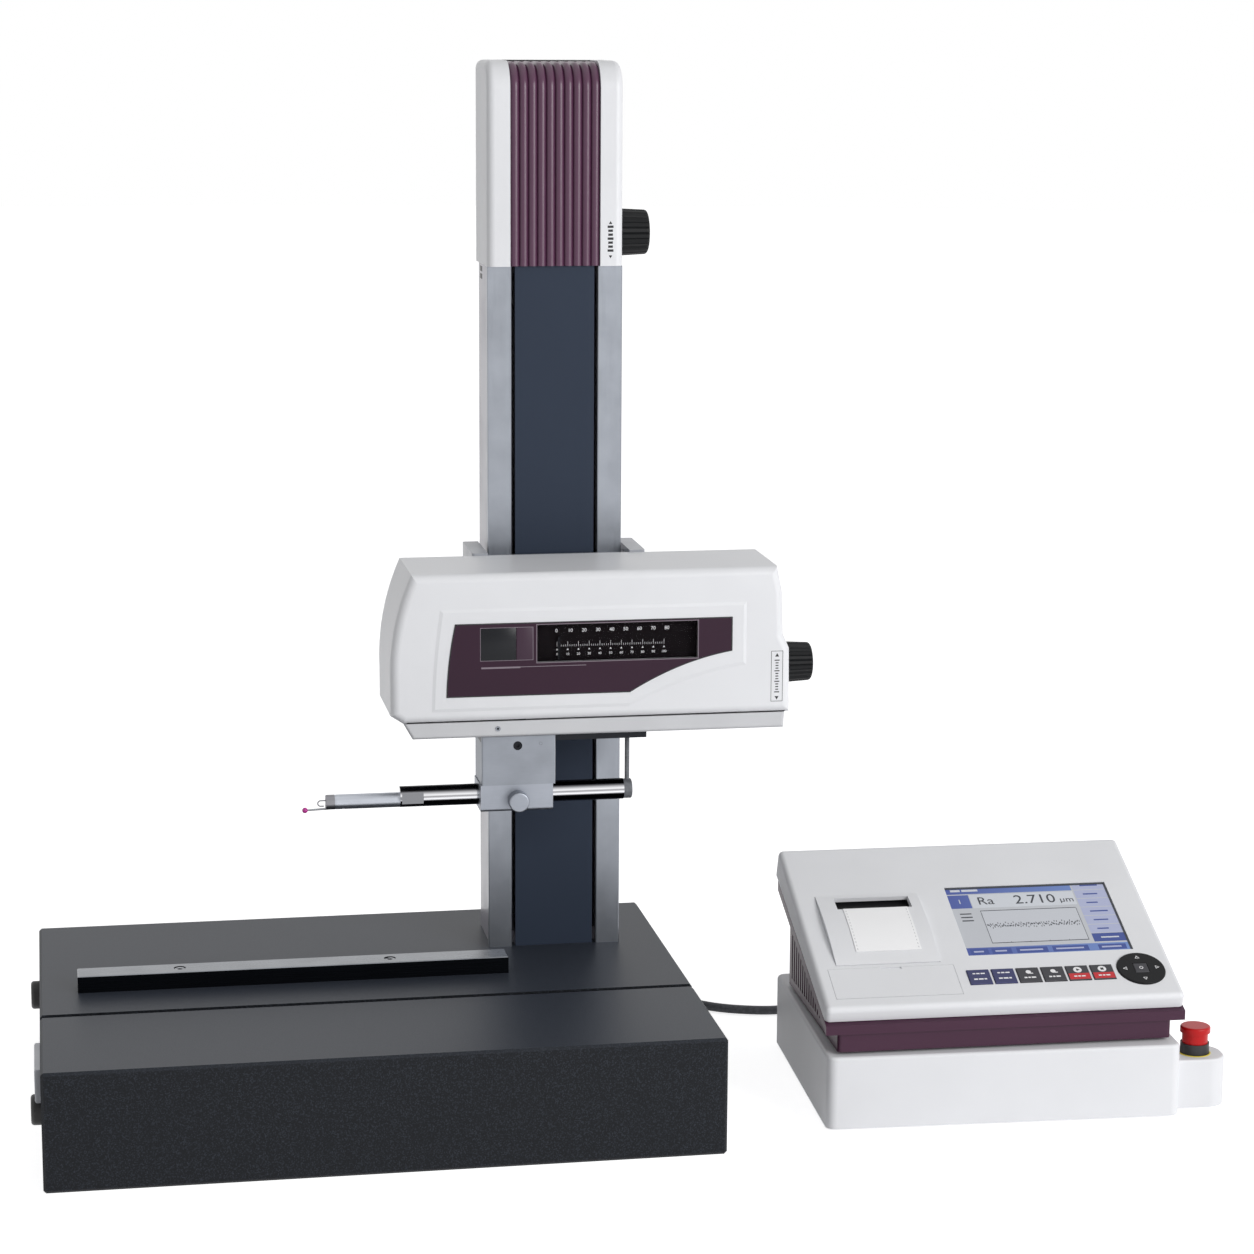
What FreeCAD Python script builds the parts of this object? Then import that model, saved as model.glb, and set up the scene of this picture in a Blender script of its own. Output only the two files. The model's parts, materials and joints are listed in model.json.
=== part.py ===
"""Surface roughness tester on a granite column stand, with its controller.

Millimetres, +Z up, X to the operator's right, Y away from the operator.
The origin is the centre of the stone's underside.
"""
import FreeCAD, Part
import math
import os

os.makedirs("parts", exist_ok=True)
V = FreeCAD.Vector

# Fits shared by many pieces
running_fit = 0.06
slide_gap = 0.3
key_gap = 0.35

# Stone and fence
stone_length = 600.0
stone_depth = 450.0
stone_height = 108.0
stone_chamfer = 2.5
groove_width = 8.0
groove_depth = 8.0
groove_y = -64.0
plug_radius = 13.5
plug_thickness = 9.0
plug_y = 168.0
plug_z = 57.0
side_plate_size = (5.0, 74.0, 30.0)
fence_length = 401.0
fence_depth = 26.5
fence_height = 16.0
fence_x = -64.5
fence_y = 14.75
fence_screw_spacing = 196.0
fence_screw_x = -73.0
counterbore_radius = 5.5
counterbore_depth = 6.5

# Column
column_x = 193.0
column_width = 128.0
column_front = 87.0
column_depth = 83.0
column_height = 658.0
column_wall = 8.0
rail_width = 23.0
rail_thickness = 6.0
rail_overhang = 3.0
strip_thickness = 2.5
strip_setback = 2.0
slot_width = 3.4
foot_thickness = 12.0

# Lead screw, bevel pair and the knob that turns them
screw_radius = 8.0
journal_radius = 6.0
screw_setback = 44.0
gear_module = 2.0
gear_teeth = 18
gear_face = 5.0
gear_addendum = 1.6
gear_dedendum = 2.2
gear_backlash = 0.45
gear_hub_radius = 10.0
gear_hub_length = 4.0
gear_centre_rise = 28.5
pinion_shaft_radius = 5.0
bracket_plate = 6.0
knob_radius = 22.5
knob_length = 30.0
knob_ribs = 24
knob_taper = 1.6
knob_collar = 3.0
groove_cut = 1.0

# Head on top of the column
head_height = 189.0
head_wall = 4.0
head_proud = 3.0
head_front_radius = 26.0
head_back_radius = 10.0
head_edge_radius = 7.0
flute_panel_width = 85.0
flute_count = 10
flute_height = 3.0
flute_sheet = 3.0
flute_flange = 3.5
flute_back = 20.0

# Carriage
carriage_z = 352.0
carriage_height = 148.0
carriage_width = 165.0
carriage_plate = 26.3
ear_depth = 45.0
ear_gap = 3.5
plate_drop = 6.0
nut_height = 60.0
nut_radius = 16.0
nut_arm = 2.4
tilt_shaft_radius = 15.0
tilt_head_radius = 20.0
tilt_head_length = 5.0
tilt_z = 430.0

# Drive unit
unit_left = 22.3
unit_right = 395.3
unit_front = -40.0
unit_back = 60.0
cover_bottom = 360.0
cover_top = 498.0
cover_wall = 3.0
cover_edge_radius = 8.0
cover_bow = (4.7, 92.0)
cover_waist_rise = 35.0
cover_heel_rise = 7.5
cover_toe_inset = 11.5
cover_shoulder = (0.8, 60.0)
cover_neck = (6.8, 74.0)
cover_brow = (8.3, 115.0)
cover_top_insets = (19.7, 13.3)
skirt_depth = 15.0
skirt_inset = 4.0
skirt_lean = 8.5
skirt_wall = 3.0
chassis_plate = 10.0
panel_left = 73.5
panel_right = 338.5
panel_top = 452.0
panel_bottom = 385.0
panel_tab_bottom = 421.0
panel_lean = 8.0
panel_sweep_x = 243.0
panel_sweep_mid = (290.0, 408.0)
panel_corner = 2.5
panel_recess = 1.2
panel_thickness = 1.6
field_margin = 14.0
field_edge = 3.0
field_rise = 0.8
scale_window = (156.5, 306.5, 415.0, 450.0)
status_window = (104.5, 152.5, 418.0, 448.0)
window_thickness = 1.8
traverse_travel = 100.0
traverse_screw_radius = 5.0
traverse_screw_y = 10.0
traverse_screw_z = 398.0
rail_block = (16.0, 12.0)
rail_drop = 20.0
bracket_left = 62.0
bracket_right = 352.0
bracket_thickness = 10.0
motor_radius = 14.0
motor_length = 24.0
drive_knob_radius = 19.5
drive_knob_length = 28.0

# Slider, holder, tube and detector
slider_left = 112.0
slider_length = 40.0
slider_plate_thickness = 6.0
slider_plate_left = 107.0
slider_plate_right = 262.0
underside_gap = 1.5
pointer_x = 178.0
holder_width = 69.0
holder_front = -28.0
holder_depth = 44.0
holder_height = 46.0
clamp_height = 25.0
tube_y = -6.0
tube_z = 285.0
tube_radius = 9.8
tube_bore = 7.8
tube_left = 33.0
tube_right = 243.0
tube_flat_length = 20.0
tube_flat = 8.2
detector_drop = 2.7
detector_radius = 6.9
detector_length = 68.5
spigot_radius = 4.5
spigot_length = 16.0
stylus_radius = 1.2
stylus_reach = 20.0
stylus_drop = 5.4
ball_radius = 2.6
ball_drop = 7.0
slot_in_nose = 4.4
pivot_radius = 1.0
pivot_back = 16.0
clamp_knob_radius = 9.4
clamp_knob_length = 11.0
clamp_screw_radius = 3.0
lead_radius = 2.2
plug_length = 8.0

# Controller box, turned a little on the bench
controller_x = 401.0
controller_y = -185.3
controller_turn = -2.6
box_depth = 263.0
box_top = 71.0
box_wall = 3.0
foot_height = 3.0
foot_radius = 9.0
foot_inset = 22.0
supply_size = (170.0, 110.0, 46.0)
supply_gap = 38.0
supply_front = 40.0
fin_count = 11
fin_pitch = 12.0
fin_width = 4.0
fin_length = 60.0
fin_height = 8.0
inlet_size = (30.0, 24.0)
inlet_gap = 43.0
inlet_z = 24.0
inlet_depth = 5.0
inlet_lip = 1.5
rear_gland_x = 190.0
rear_gland_z = 24.0
rear_gland_length = 13.99
estop_block = (48.0, 44.0, 46.0)
estop_block_front = 8.0
estop_block_z = 7.0
estop_x = 21.5
collar_radius = 13.4
collar_height = 10.5
neck_radius = 11.9
neck_shown = 10.0
stem_radius = 9.2
stem_length = 22.0
cap_radius = 14.0
cap_thickness = 6.0
estop_travel = 4.0

# Display unit: a wedge, with its deck tilted towards the operator
deck_x = -2.0
deck_front = 2.0
deck_lip = 116.0
deck_tilt = 22.2
unit_turn = 1.3
deck_width = 338.0
deck_length = 241.0
shell_wall = 3.0
rim_front = 14.5
rim_back = 27.0
tray_inset = 12.0
tray_flange = 9.0
tray_wall = 3.0
louvre_count = 15
louvre_pitch = 9.5
louvre_width = 4.5
lcd_gap = 28.5
lcd_margin = 31.0
lcd_v = (68.5, 172.0)
lcd_thickness = 9.0
board_depth = 15.0
board_thickness = 2.0
board_gap = 19.0
board_front = 10.0
board_back = 200.0
board_inset = 4.0
post_radius = 3.0
chip_size = 18.0
chip_rows = (90.0, 150.0)
key_count = 6
key_start = 19.3
key_spacing = 2.5
key_depth = 20.5
key_v = 36.5
key_travel = 1.0
pad_margin = 32.1
pad_v = 39.0
pad_radius = 22.6
pad_button = 13.0
pad_button_thickness = 4.0
pad_button_travel = 0.8
pad_switch_radius = 6.0
printer_bay = (21.0, 120.0, 61.0, 164.5)
lid_edge = 0.6
lid_bulge = 5.0
paper_slot = (38.0, 110.0, 140.0, 159.3)
hinge_pin = 1.0
hinge_pin_length = 2.0
hinge_inset = 6.0
hinge_gap = 0.8
roll_radius = 22.0
roll_pin = 3.5
roll_v = 103.0
roll_w = -30.0
platen_radius = 5.0
platen_pin = 1.5
platen_v = 133.0
paper_width = 62.0
paper_thickness = 0.4
paper_end = 77.0
frame_head = (84.0, -18.0, -7.0)
access_bay = (12.0, 131.0, 14.0, 57.0)

# Cable between the stand and the controller
cable_radius = 4.5
gland_radius = 9.0
gland_length = 12.0
cable_points = (
    (193.0, 182.0, 150.0), (193.0, 226.0, 150.0), (197.0, 267.0, 123.0), (209.0, 288.0, 78.0),
    (233.0, 292.0, 33.0), (277.0, 281.0, 4.9), (327.0, 244.0, 4.8), (364.0, 185.0, 4.8),
    (427.0, 161.0, 4.8), (462.0, 171.0, 4.8), (500.0, 176.0, 4.8), (541.0, 174.0, 6.0),
    (574.0, 162.0, 11.0), (596.0, 141.0, 19.0), (604.76, 112.77, 24.0), (603.4, 82.8, 24.0))

# Places that follow from the sizes above
stone_top = stone_height
stone_left = -stone_length / 2
fence_top = stone_top + fence_height
column_top = stone_top + column_height
column_left = column_x - column_width / 2
column_right = column_x + column_width / 2
column_back = column_front + column_depth
rail_back = column_front + rail_thickness
frame_left = column_left + rail_overhang
frame_right = column_right - rail_overhang
opening_left = column_left + rail_width
opening_right = column_right - rail_width
strip_left = opening_left + slot_width
strip_right = opening_right - slot_width
strip_front = column_front + strip_setback
strip_back = strip_front + strip_thickness
screw_y = column_front + screw_setback
gear_z = column_top + gear_centre_rise
gear_pitch_radius = gear_module * gear_teeth / 2
head_front = column_front - head_proud
head_top = column_top + head_height
plate_front = column_front - slide_gap - carriage_plate
carriage_left = column_x - carriage_width / 2
carriage_right = carriage_left + carriage_width
carriage_mid = carriage_z + carriage_height / 2
skirt_bottom = cover_bottom - skirt_depth
slider_plate_top = skirt_bottom - underside_gap
slider_plate_bottom = slider_plate_top - slider_plate_thickness
rail_top = traverse_screw_z - rail_drop + rail_block[1] / 2
rail_bottom = rail_top - rail_block[1]
holder_left = slider_plate_left
holder_right = holder_left + holder_width
holder_bottom = slider_plate_top - holder_height
clamp_bottom = holder_bottom - clamp_height
detector_z = tube_z - detector_drop
nose_x = tube_left - detector_length
stylus_z = detector_z - stylus_drop
pivot_x = nose_x + pivot_back
clamp_knob_x = (holder_left + holder_right) / 2 - 1.0
clamp_knob_z = tube_z - 2.0
estop_y = estop_block_front + estop_block[1] / 2
estop_top = estop_block_z + estop_block[2]
box_width = deck_x + deck_width - 5.0
inlet_x = (box_width - inlet_gap - inlet_size[0], box_width - inlet_gap)
inlet_height = (inlet_z, inlet_z + inlet_size[1])
deck_reach = deck_length * math.cos(math.radians(deck_tilt))
tray_bottom = box_top + foot_height
roll_left = (paper_slot[0] + paper_slot[1] - paper_width) / 2
roll_right = roll_left + paper_width
lcd_window = (printer_bay[1] + lcd_gap, deck_width - lcd_margin, lcd_v[0], lcd_v[1])
board_left = printer_bay[1] + board_gap
board_right = deck_width - tray_inset - tray_wall - board_inset / 2
pad_u = deck_width - pad_margin
key_left = printer_bay[1] + key_start
key_pitch = (pad_u - pad_radius - 3.0 - key_left) / key_count
key_width = key_pitch - key_spacing


def box(x, y, z):
    """A block between two values along each axis."""
    return Part.makeBox(x[1] - x[0], y[1] - y[0], z[1] - z[0], V(x[0], y[0], z[0]))


def rod(start, direction, length, radius):
    return Part.makeCylinder(radius, length, V(*start), V(*direction))


def pipe(start, direction, length, outer, inner):
    return rod(start, direction, length, outer).cut(rod(start, direction, length, inner))


def prism(points, direction):
    """A closed polygon pushed along a direction."""
    corners = [V(*point) for point in points]
    return Part.Face(Part.makePolygon(corners + corners[:1])).extrude(V(*direction))


def joined(shapes):
    result = shapes[0].fuse(list(shapes[1:]))
    return result.removeSplitter()


def without(shape, cutters):
    return shape.cut(list(cutters))


def rounded(shape, radius, chosen):
    edges = [edge for edge in shape.Edges if chosen(edge)]
    return shape.makeFillet(radius, edges)


def middle(edge):
    return edge.BoundBox.Center


def runs_along(edge, axis):
    """True for a straight edge along one axis."""
    if not isinstance(edge.Curve, Part.Line):
        return False
    return abs(abs(edge.Curve.Direction.dot(V(*axis))) - 1) < 1e-6


def rounded_box(x, y, z, radius):
    block = box(x, y, z)
    return rounded(block, radius, lambda edge: runs_along(edge, (0, 0, 1)))


def mirrored(shape, x):
    return shape.mirror(V(x, 0, 0), V(1, 0, 0))


def save(name, *shapes):
    solids = [solid for shape in shapes for solid in shape.Solids]
    whole = solids[0] if len(solids) == 1 else Part.makeCompound(solids)
    whole.exportStep(os.path.join("parts", name + ".step"))


def on_bench(shape):
    """Moves a piece from the controller's own frame to its place on the bench."""
    moved = shape.copy()
    turn = FreeCAD.Rotation(V(0, 0, 1), controller_turn)
    place = FreeCAD.Placement(V(controller_x, controller_y, 0), turn)
    moved.Placement = place.multiply(moved.Placement)
    return moved


def on_deck(shape):
    """Moves a piece from the deck's frame, with its face at zero height, to the controller's."""
    moved = shape.copy()
    tilt = FreeCAD.Rotation(V(1, 0, 0), deck_tilt)
    place = FreeCAD.Placement(V(deck_x, deck_front, deck_lip), tilt)
    moved.Placement = place.multiply(moved.Placement)
    return on_unit(moved)


def on_unit(shape):
    """Turns a piece of the display unit about its front left corner on the box."""
    moved = shape.copy()
    moved.rotate(V(deck_x, deck_front, 0), V(0, 0, 1), unit_turn)
    return moved


def ribbed_knob(start, radius, length, bore):
    """A turned knob along X with a slight taper, a rounded end and grip ribs."""
    axis = V(1, 0, 0)
    body = Part.makeCone(radius, radius - knob_taper, length, V(*start), axis)
    far = V(*start) + axis * length
    body = rounded(body, 3.0, lambda edge: (middle(edge) - far).Length < 0.01)
    x = start[0] + knob_collar
    rim = start[1] + radius - knob_taper * knob_collar / length
    grooves = []
    for index in range(knob_ribs):
        corners = [(x, rim - groove_cut, start[2]), (x, rim + groove_cut, start[2] - 2.6 * groove_cut),
                   (x, rim + groove_cut, start[2] + 2.6 * groove_cut)]
        groove = prism(corners, (length, -knob_taper, 0))
        groove.rotate(V(*start), axis, 360.0 * index / knob_ribs)
        grooves.append(groove)
    shaft_hole = Part.makeCylinder(bore, length - 4.0, V(*start), axis)
    return without(body, grooves + [shaft_hole])


def stone():
    x = (stone_left, -stone_left)
    y = (-stone_depth / 2, stone_depth / 2)
    slab = box(x, y, (0, stone_height))
    slab = slab.makeChamfer(stone_chamfer, slab.Edges)
    groove = box(x, (groove_y - groove_width / 2, groove_y + groove_width / 2),
                 (stone_top - groove_depth, stone_top))
    save("granite_base", slab.cut(groove))


def stone_fittings():
    plugs = []
    for y in (-plug_y, plug_y):
        plug = rod((stone_left, y, plug_z), (-1, 0, 0), plug_thickness, plug_radius)
        face = V(stone_left - plug_thickness, y, plug_z)
        plugs.append(rounded(plug, 3.0, lambda edge: (middle(edge) - face).Length < 0.01))
    save("side_plugs", *plugs)
    depth, width, height = side_plate_size
    top = stone_top - stone_chamfer
    plate = box((stone_left - depth, stone_left), (-plug_y - width / 2, -plug_y + width / 2),
                (top - height, top))
    save("side_plate", rounded(plate, 2.0, lambda edge: middle(edge).x < stone_left - depth + 0.1))


def fence():
    half = fence_length / 2
    x = (fence_x - half, fence_x + half)
    y = (fence_y - fence_depth / 2, fence_y + fence_depth / 2)
    bar = box(x, y, (stone_top, fence_top))
    bar = bar.makeChamfer(0.8, [edge for edge in bar.Edges if middle(edge).z > fence_top - 0.01])
    wells = []
    for side in (-1, 1):
        centre = (fence_screw_x + side * fence_screw_spacing / 2, fence_y, fence_top)
        wells.append(rod(centre, (0, 0, -1), counterbore_depth, counterbore_radius))
    save("fence_bar", without(bar, wells))


def column():
    height = (stone_top, column_top)
    frame = box((frame_left, frame_right), (rail_back, column_back), height)
    frame = rounded(frame, 3.0, lambda e: runs_along(e, (0, 0, 1)) and middle(e).y > column_back - 1)
    cavity = box((frame_left + column_wall, frame_right - column_wall),
                 (rail_back + column_wall, column_back - column_wall),
                 (stone_top + foot_thickness, column_top))
    opening = box((opening_left, opening_right), (rail_back, rail_back + column_wall), height)
    tongue = box((strip_left, strip_right), (strip_back, rail_back + column_wall),
                 (stone_top, stone_top + foot_thickness))
    bore = rod((column_x, screw_y, stone_top + 3.0), (0, 0, 1), foot_thickness,
               journal_radius + running_fit)
    cable_hole = rod((column_x, column_back, cable_points[0][2]), (0, -1, 0), column_wall + 1,
                     cable_radius + 1.0)
    frame = without(frame, [cavity, opening])
    frame = without(joined([frame, tongue]), [bore, cable_hole])
    save("column_frame", frame)

    rail = box((column_left, opening_left), (column_front, rail_back), height)
    rail = rail.makeChamfer(0.8, [e for e in rail.Edges
                                  if runs_along(e, (0, 0, 1)) and middle(e).y < column_front + 0.1])
    save("column_rails", rail, mirrored(rail, column_x))

    strip = box((strip_left, strip_right), (strip_front, strip_back),
                (stone_top, column_top))
    save("column_strip", strip)


def bevel_gear(bore):
    """A straight bevel gear, apex at the origin, large end a pitch radius below it."""
    pitch = gear_pitch_radius
    cone_length = pitch * math.sqrt(2)
    tip_angle = math.pi / 4 + gear_addendum / cone_length
    root_angle = math.pi / 4 - gear_dedendum / cone_length
    tip = pitch * math.tan(tip_angle)
    root = pitch * math.tan(root_angle)
    thickness = math.pi * gear_module / 2 - gear_backlash
    slope = math.tan(math.radians(22))
    half_pitch = thickness / 2
    half_tip = (half_pitch - gear_addendum * slope) * tip / pitch * 0.94
    half_root = (half_pitch + gear_dedendum * slope) * root / pitch * 1.08
    small = (pitch - gear_face) / pitch
    section = [(root - 0.6, half_root), (pitch, half_pitch), (tip, half_tip)]
    ring = section + [(radius, -half) for radius, half in reversed(section)]

    def end(scale):
        corners = [V(radius * scale, half * scale, -pitch * scale) for radius, half in ring]
        return Part.makePolygon(corners + corners[:1])

    tooth = Part.makeLoft([end(1.0), end(small)], True, True)
    blank = Part.makeCone(root, root * small, gear_face, V(0, 0, -pitch))
    hub = Part.makeCylinder(gear_hub_radius, gear_hub_length, V(0, 0, -pitch - gear_hub_length))
    teeth = []
    for index in range(gear_teeth):
        copy = tooth.copy()
        copy.rotate(V(0, 0, 0), V(0, 0, 1), 360.0 * index / gear_teeth)
        teeth.append(copy)
    body = blank.fuse(teeth + [hub])
    return body.cut(Part.makeCylinder(bore, 3 * pitch, V(0, 0, -2 * pitch)))


def lift_drive():
    lower = stone_top + foot_thickness + slide_gap
    upper = column_top - slide_gap
    screw = joined([
        rod((column_x, screw_y, stone_top + 3.0 + slide_gap), (0, 0, 1), foot_thickness, journal_radius),
        rod((column_x, screw_y, lower), (0, 0, 1), upper - lower, screw_radius),
        rod((column_x, screw_y, upper), (0, 0, 1), gear_z - gear_pitch_radius + gear_face - upper,
            journal_radius)])
    save("lead_screw", screw)

    wheel = bevel_gear(journal_radius)
    wheel.translate(V(column_x, screw_y, gear_z))
    save("screw_gear", wheel)

    pinion = bevel_gear(pinion_shaft_radius)
    pinion.rotate(V(0, 0, 0), V(0, 0, 1), 180.0 / gear_teeth)
    pinion.rotate(V(0, 0, 0), V(0, 1, 0), -90)
    pinion.translate(V(column_x, screw_y, gear_z))
    shaft_start = column_x + gear_pitch_radius - gear_face
    shaft = rod((shaft_start, screw_y, gear_z), (1, 0, 0),
                column_right + knob_length - 6.0 - shaft_start, pinion_shaft_radius)
    save("pinion_shaft", pinion.fuse(shaft))

    knob = ribbed_knob((column_right + 1.0, screw_y, gear_z), knob_radius, knob_length,
                       pinion_shaft_radius)
    save("column_knob", knob)


def gear_bracket():
    """Carries the screw's upper journal and the pinion shaft."""
    side = head_wall + slide_gap
    plate = box((column_left + side, column_right - side),
                (rail_back + 1.0, column_back - side), (column_top, column_top + bracket_plate))
    lip = box((strip_left + 1, strip_right - 1), (strip_back, rail_back + column_wall - 1),
              (column_top - 20, column_top + bracket_plate))
    left = column_x + gear_pitch_radius + gear_hub_length + slide_gap
    top = gear_z + 3 * pinion_shaft_radius
    upright = box((left, left + 10), (screw_y - 20, screw_y + 20), (column_top, top))
    upright = rounded(upright, 8.0, lambda e: runs_along(e, (1, 0, 0)) and middle(e).z > top - 1)
    journal = rod((column_x, screw_y, column_top - 1), (0, 0, 1), bracket_plate + 2,
                  journal_radius + running_fit)
    shaft = rod((left - 1, screw_y, gear_z), (1, 0, 0), 12, pinion_shaft_radius + running_fit)
    save("gear_bracket", without(joined([plate, lip, upright]), [journal, shaft]))


def side_outline(x, front, back, bottom, top, front_radius, back_radius):
    """The head's side view as a face: upright front and back, rounded to a flat top."""
    diagonal = math.sqrt(0.5)
    front_centre = (front + front_radius, top - front_radius)
    back_centre = (back - back_radius, top - back_radius)
    a = V(x, front, bottom)
    b = V(x, front, front_centre[1])
    b_mid = V(x, front_centre[0] - front_radius * diagonal, front_centre[1] + front_radius * diagonal)
    c = V(x, front_centre[0], top)
    d = V(x, back_centre[0], top)
    d_mid = V(x, back_centre[0] + back_radius * diagonal, back_centre[1] + back_radius * diagonal)
    e = V(x, back, back_centre[1])
    f = V(x, back, bottom)
    edges = [Part.LineSegment(a, b), Part.Arc(b, b_mid, c), Part.LineSegment(c, d),
             Part.Arc(d, d_mid, e), Part.LineSegment(e, f), Part.LineSegment(f, a)]
    return Part.Face(Part.Wire([edge.toShape() for edge in edges]))


def head():
    wall = head_wall
    outer = side_outline(column_left, head_front, column_back, column_top, head_top,
                         head_front_radius, head_back_radius).extrude(V(column_width, 0, 0))

    def on_side_outline(edge):
        spot = middle(edge)
        at_side = min(abs(spot.x - column_left), abs(spot.x - column_right)) < 0.01
        return at_side and spot.z > column_top + 0.1

    outer = rounded(outer, head_edge_radius, on_side_outline)
    inner = side_outline(column_left + wall, head_front + wall, column_back - wall, column_top,
                         head_top - wall, head_front_radius - wall, head_back_radius - wall)
    inner = inner.extrude(V(column_width - 2 * wall, 0, 0))
    half = flute_panel_width / 2
    window = box((column_x - half, column_x + half), (head_front - 1, column_back - flute_back),
                 (column_top, head_top + 1))
    shaft_hole = rod((column_right - 2 * wall, screw_y, gear_z), (1, 0, 0), 3 * wall,
                     pinion_shaft_radius + 2.0)
    save("head_shell", without(outer, [inner, window, shaft_hole]))


def flutes():
    """The ribbed panel: one fluted section swept up the front and over the top of the head."""
    half = flute_panel_width / 2 - slide_gap
    flange = half + flute_flange
    pitch = 2 * half / flute_count
    face = head_front + head_wall
    bottom = column_top + slide_gap
    wide_left = V(column_x - flange, face + flute_sheet, bottom)
    wide_right = V(column_x + flange, face + flute_sheet, bottom)
    edges = [Part.makeLine(wide_left, V(column_x - flange, face, bottom)),
             Part.makeLine(V(column_x - flange, face, bottom), V(column_x - half, face, bottom))]
    for index in range(flute_count):
        start = column_x - half + index * pitch
        ends = (V(start, face, bottom), V(start + pitch, face, bottom))
        crest = V(start + pitch / 2, face - flute_height, bottom)
        edges.append(Part.Arc(ends[0], crest, ends[1]).toShape())
    edges.append(Part.makeLine(V(column_x + half, face, bottom), V(column_x + flange, face, bottom)))
    edges.append(Part.makeLine(V(column_x + flange, face, bottom), wide_right))
    edges.append(Part.makeLine(wide_right, wide_left))
    section = Part.Wire(edges)

    radius = head_front_radius - head_wall
    top = head_top - head_wall
    diagonal = math.sqrt(0.5)
    centre = (face + radius, top - radius)
    rise = V(column_x, face, centre[1])
    bend = V(column_x, centre[0] - radius * diagonal, centre[1] + radius * diagonal)
    level = V(column_x, centre[0], top)
    back = V(column_x, column_back - flute_back - slide_gap, top)
    path = Part.Wire([Part.LineSegment(V(column_x, face, bottom), rise).toShape(),
                      Part.Arc(rise, bend, level).toShape(),
                      Part.LineSegment(level, back).toShape()])
    save("head_flutes", path.makePipeShell([section], True, False))


def carriage():
    z = (carriage_z, carriage_z + carriage_height)
    back = column_front - slide_gap
    plate = box((carriage_left, carriage_right), (plate_front, back), z)
    ear_right = column_left - ear_gap
    low = (z[0], z[1] - plate_drop)
    notch = box((ear_right, 2 * column_x - ear_right), (plate_front - 1, back + 1), (low[1], z[1] + 1))
    ear = box((carriage_left, ear_right), (back - 1, column_front + ear_depth), z)
    hook_y = (rail_back + slide_gap, rail_back + slide_gap + column_wall)
    pad_block = box((ear_right - 1, column_left - slide_gap), (back - 1, hook_y[1]), low)
    hook = box((ear_right - 1, frame_left - slide_gap), hook_y, low)
    side = joined([ear, pad_block, hook])
    saddle = joined([plate.cut(notch), side, mirrored(side, column_x)])
    corners = (carriage_left, carriage_right)
    saddle = rounded(saddle, 3.0, lambda e: runs_along(e, (0, 0, 1))
                     and min(abs(middle(e).x - x) for x in corners) < 0.01)
    bore = rod((column_x, plate_front, tilt_z), (0, 1, 0), carriage_plate - 6.0, tilt_shaft_radius)
    save("carriage_saddle", saddle.cut(bore))

    shaft = rod((column_x, unit_back - chassis_plate, tilt_z), (0, 1, 0),
                carriage_plate - 6.0 + plate_front - unit_back + chassis_plate, tilt_shaft_radius)
    cap = rod((column_x, unit_back - chassis_plate - slide_gap, tilt_z), (0, -1, 0),
              tilt_head_length, tilt_head_radius)
    cap = cap.fuse(rod((column_x, unit_back - chassis_plate, tilt_z), (0, -1, 0), 1.0,
                       tilt_shaft_radius))
    save("tilt_shaft", joined([shaft, cap]))


def lift_nut():
    """The nut behind the cover strip, on two thin arms that pass through the side slots."""
    middle_z = carriage_mid
    z = (middle_z - nut_height / 2 - 5, middle_z + nut_height / 2 + 5)
    arm_left = opening_left + (slot_width - nut_arm) / 2
    yoke_y = (rail_back + column_wall + 3, rail_back + column_wall + 11)
    arm = box((arm_left, arm_left + nut_arm), (column_front - slide_gap, yoke_y[1]), z)
    span = column_x - arm_left
    yoke = box((column_x - span, column_x + span), yoke_y, z)
    nut_z = middle_z - nut_height / 2
    boss = rod((column_x, screw_y, nut_z), (0, 0, 1), nut_height, nut_radius)
    web = box((column_x - nut_radius, column_x + nut_radius), (yoke_y[0], screw_y),
              (nut_z, nut_z + nut_height))
    bore = rod((column_x, screw_y, nut_z - 1), (0, 0, 1), nut_height + 2, screw_radius + running_fit)
    save("lift_nut", joined([arm, mirrored(arm, column_x), yoke, boss, web]).cut(bore))


def cover_wire(y, inset):
    """The drive unit's front outline, with a bowed left end and a wider lower right end."""
    top_left = V(unit_left + cover_top_insets[0], y, cover_top)
    bow = V(unit_left + cover_bow[0], y, cover_bottom + cover_bow[1])
    waist = V(unit_left, y, cover_bottom + cover_waist_rise)
    heel = V(unit_left, y, cover_bottom + cover_heel_rise)
    toe = V(unit_left + cover_toe_inset, y, cover_bottom)
    foot = V(unit_right, y, cover_bottom)
    shoulder = V(unit_right - cover_shoulder[0], y, cover_bottom + cover_shoulder[1])
    neck = V(unit_right - cover_neck[0], y, cover_bottom + cover_neck[1])
    brow = V(unit_right - cover_brow[0], y, cover_bottom + cover_brow[1])
    top_right = V(unit_right - cover_top_insets[1], y, cover_top)
    edges = [Part.Arc(top_left, bow, waist).toShape()]
    corners = [waist, heel, toe, foot, shoulder, neck, brow, top_right, top_left]
    for start, end in zip(corners, corners[1:]):
        edges.append(Part.makeLine(start, end))
    wire = Part.Wire(edges)
    if inset:
        wire = wire.makeOffset2D(-inset, 2, False, False)
    return wire


def cover_block(front, back, inset):
    return Part.Face(cover_wire(front, inset)).extrude(V(0, back - front, 0))


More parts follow.
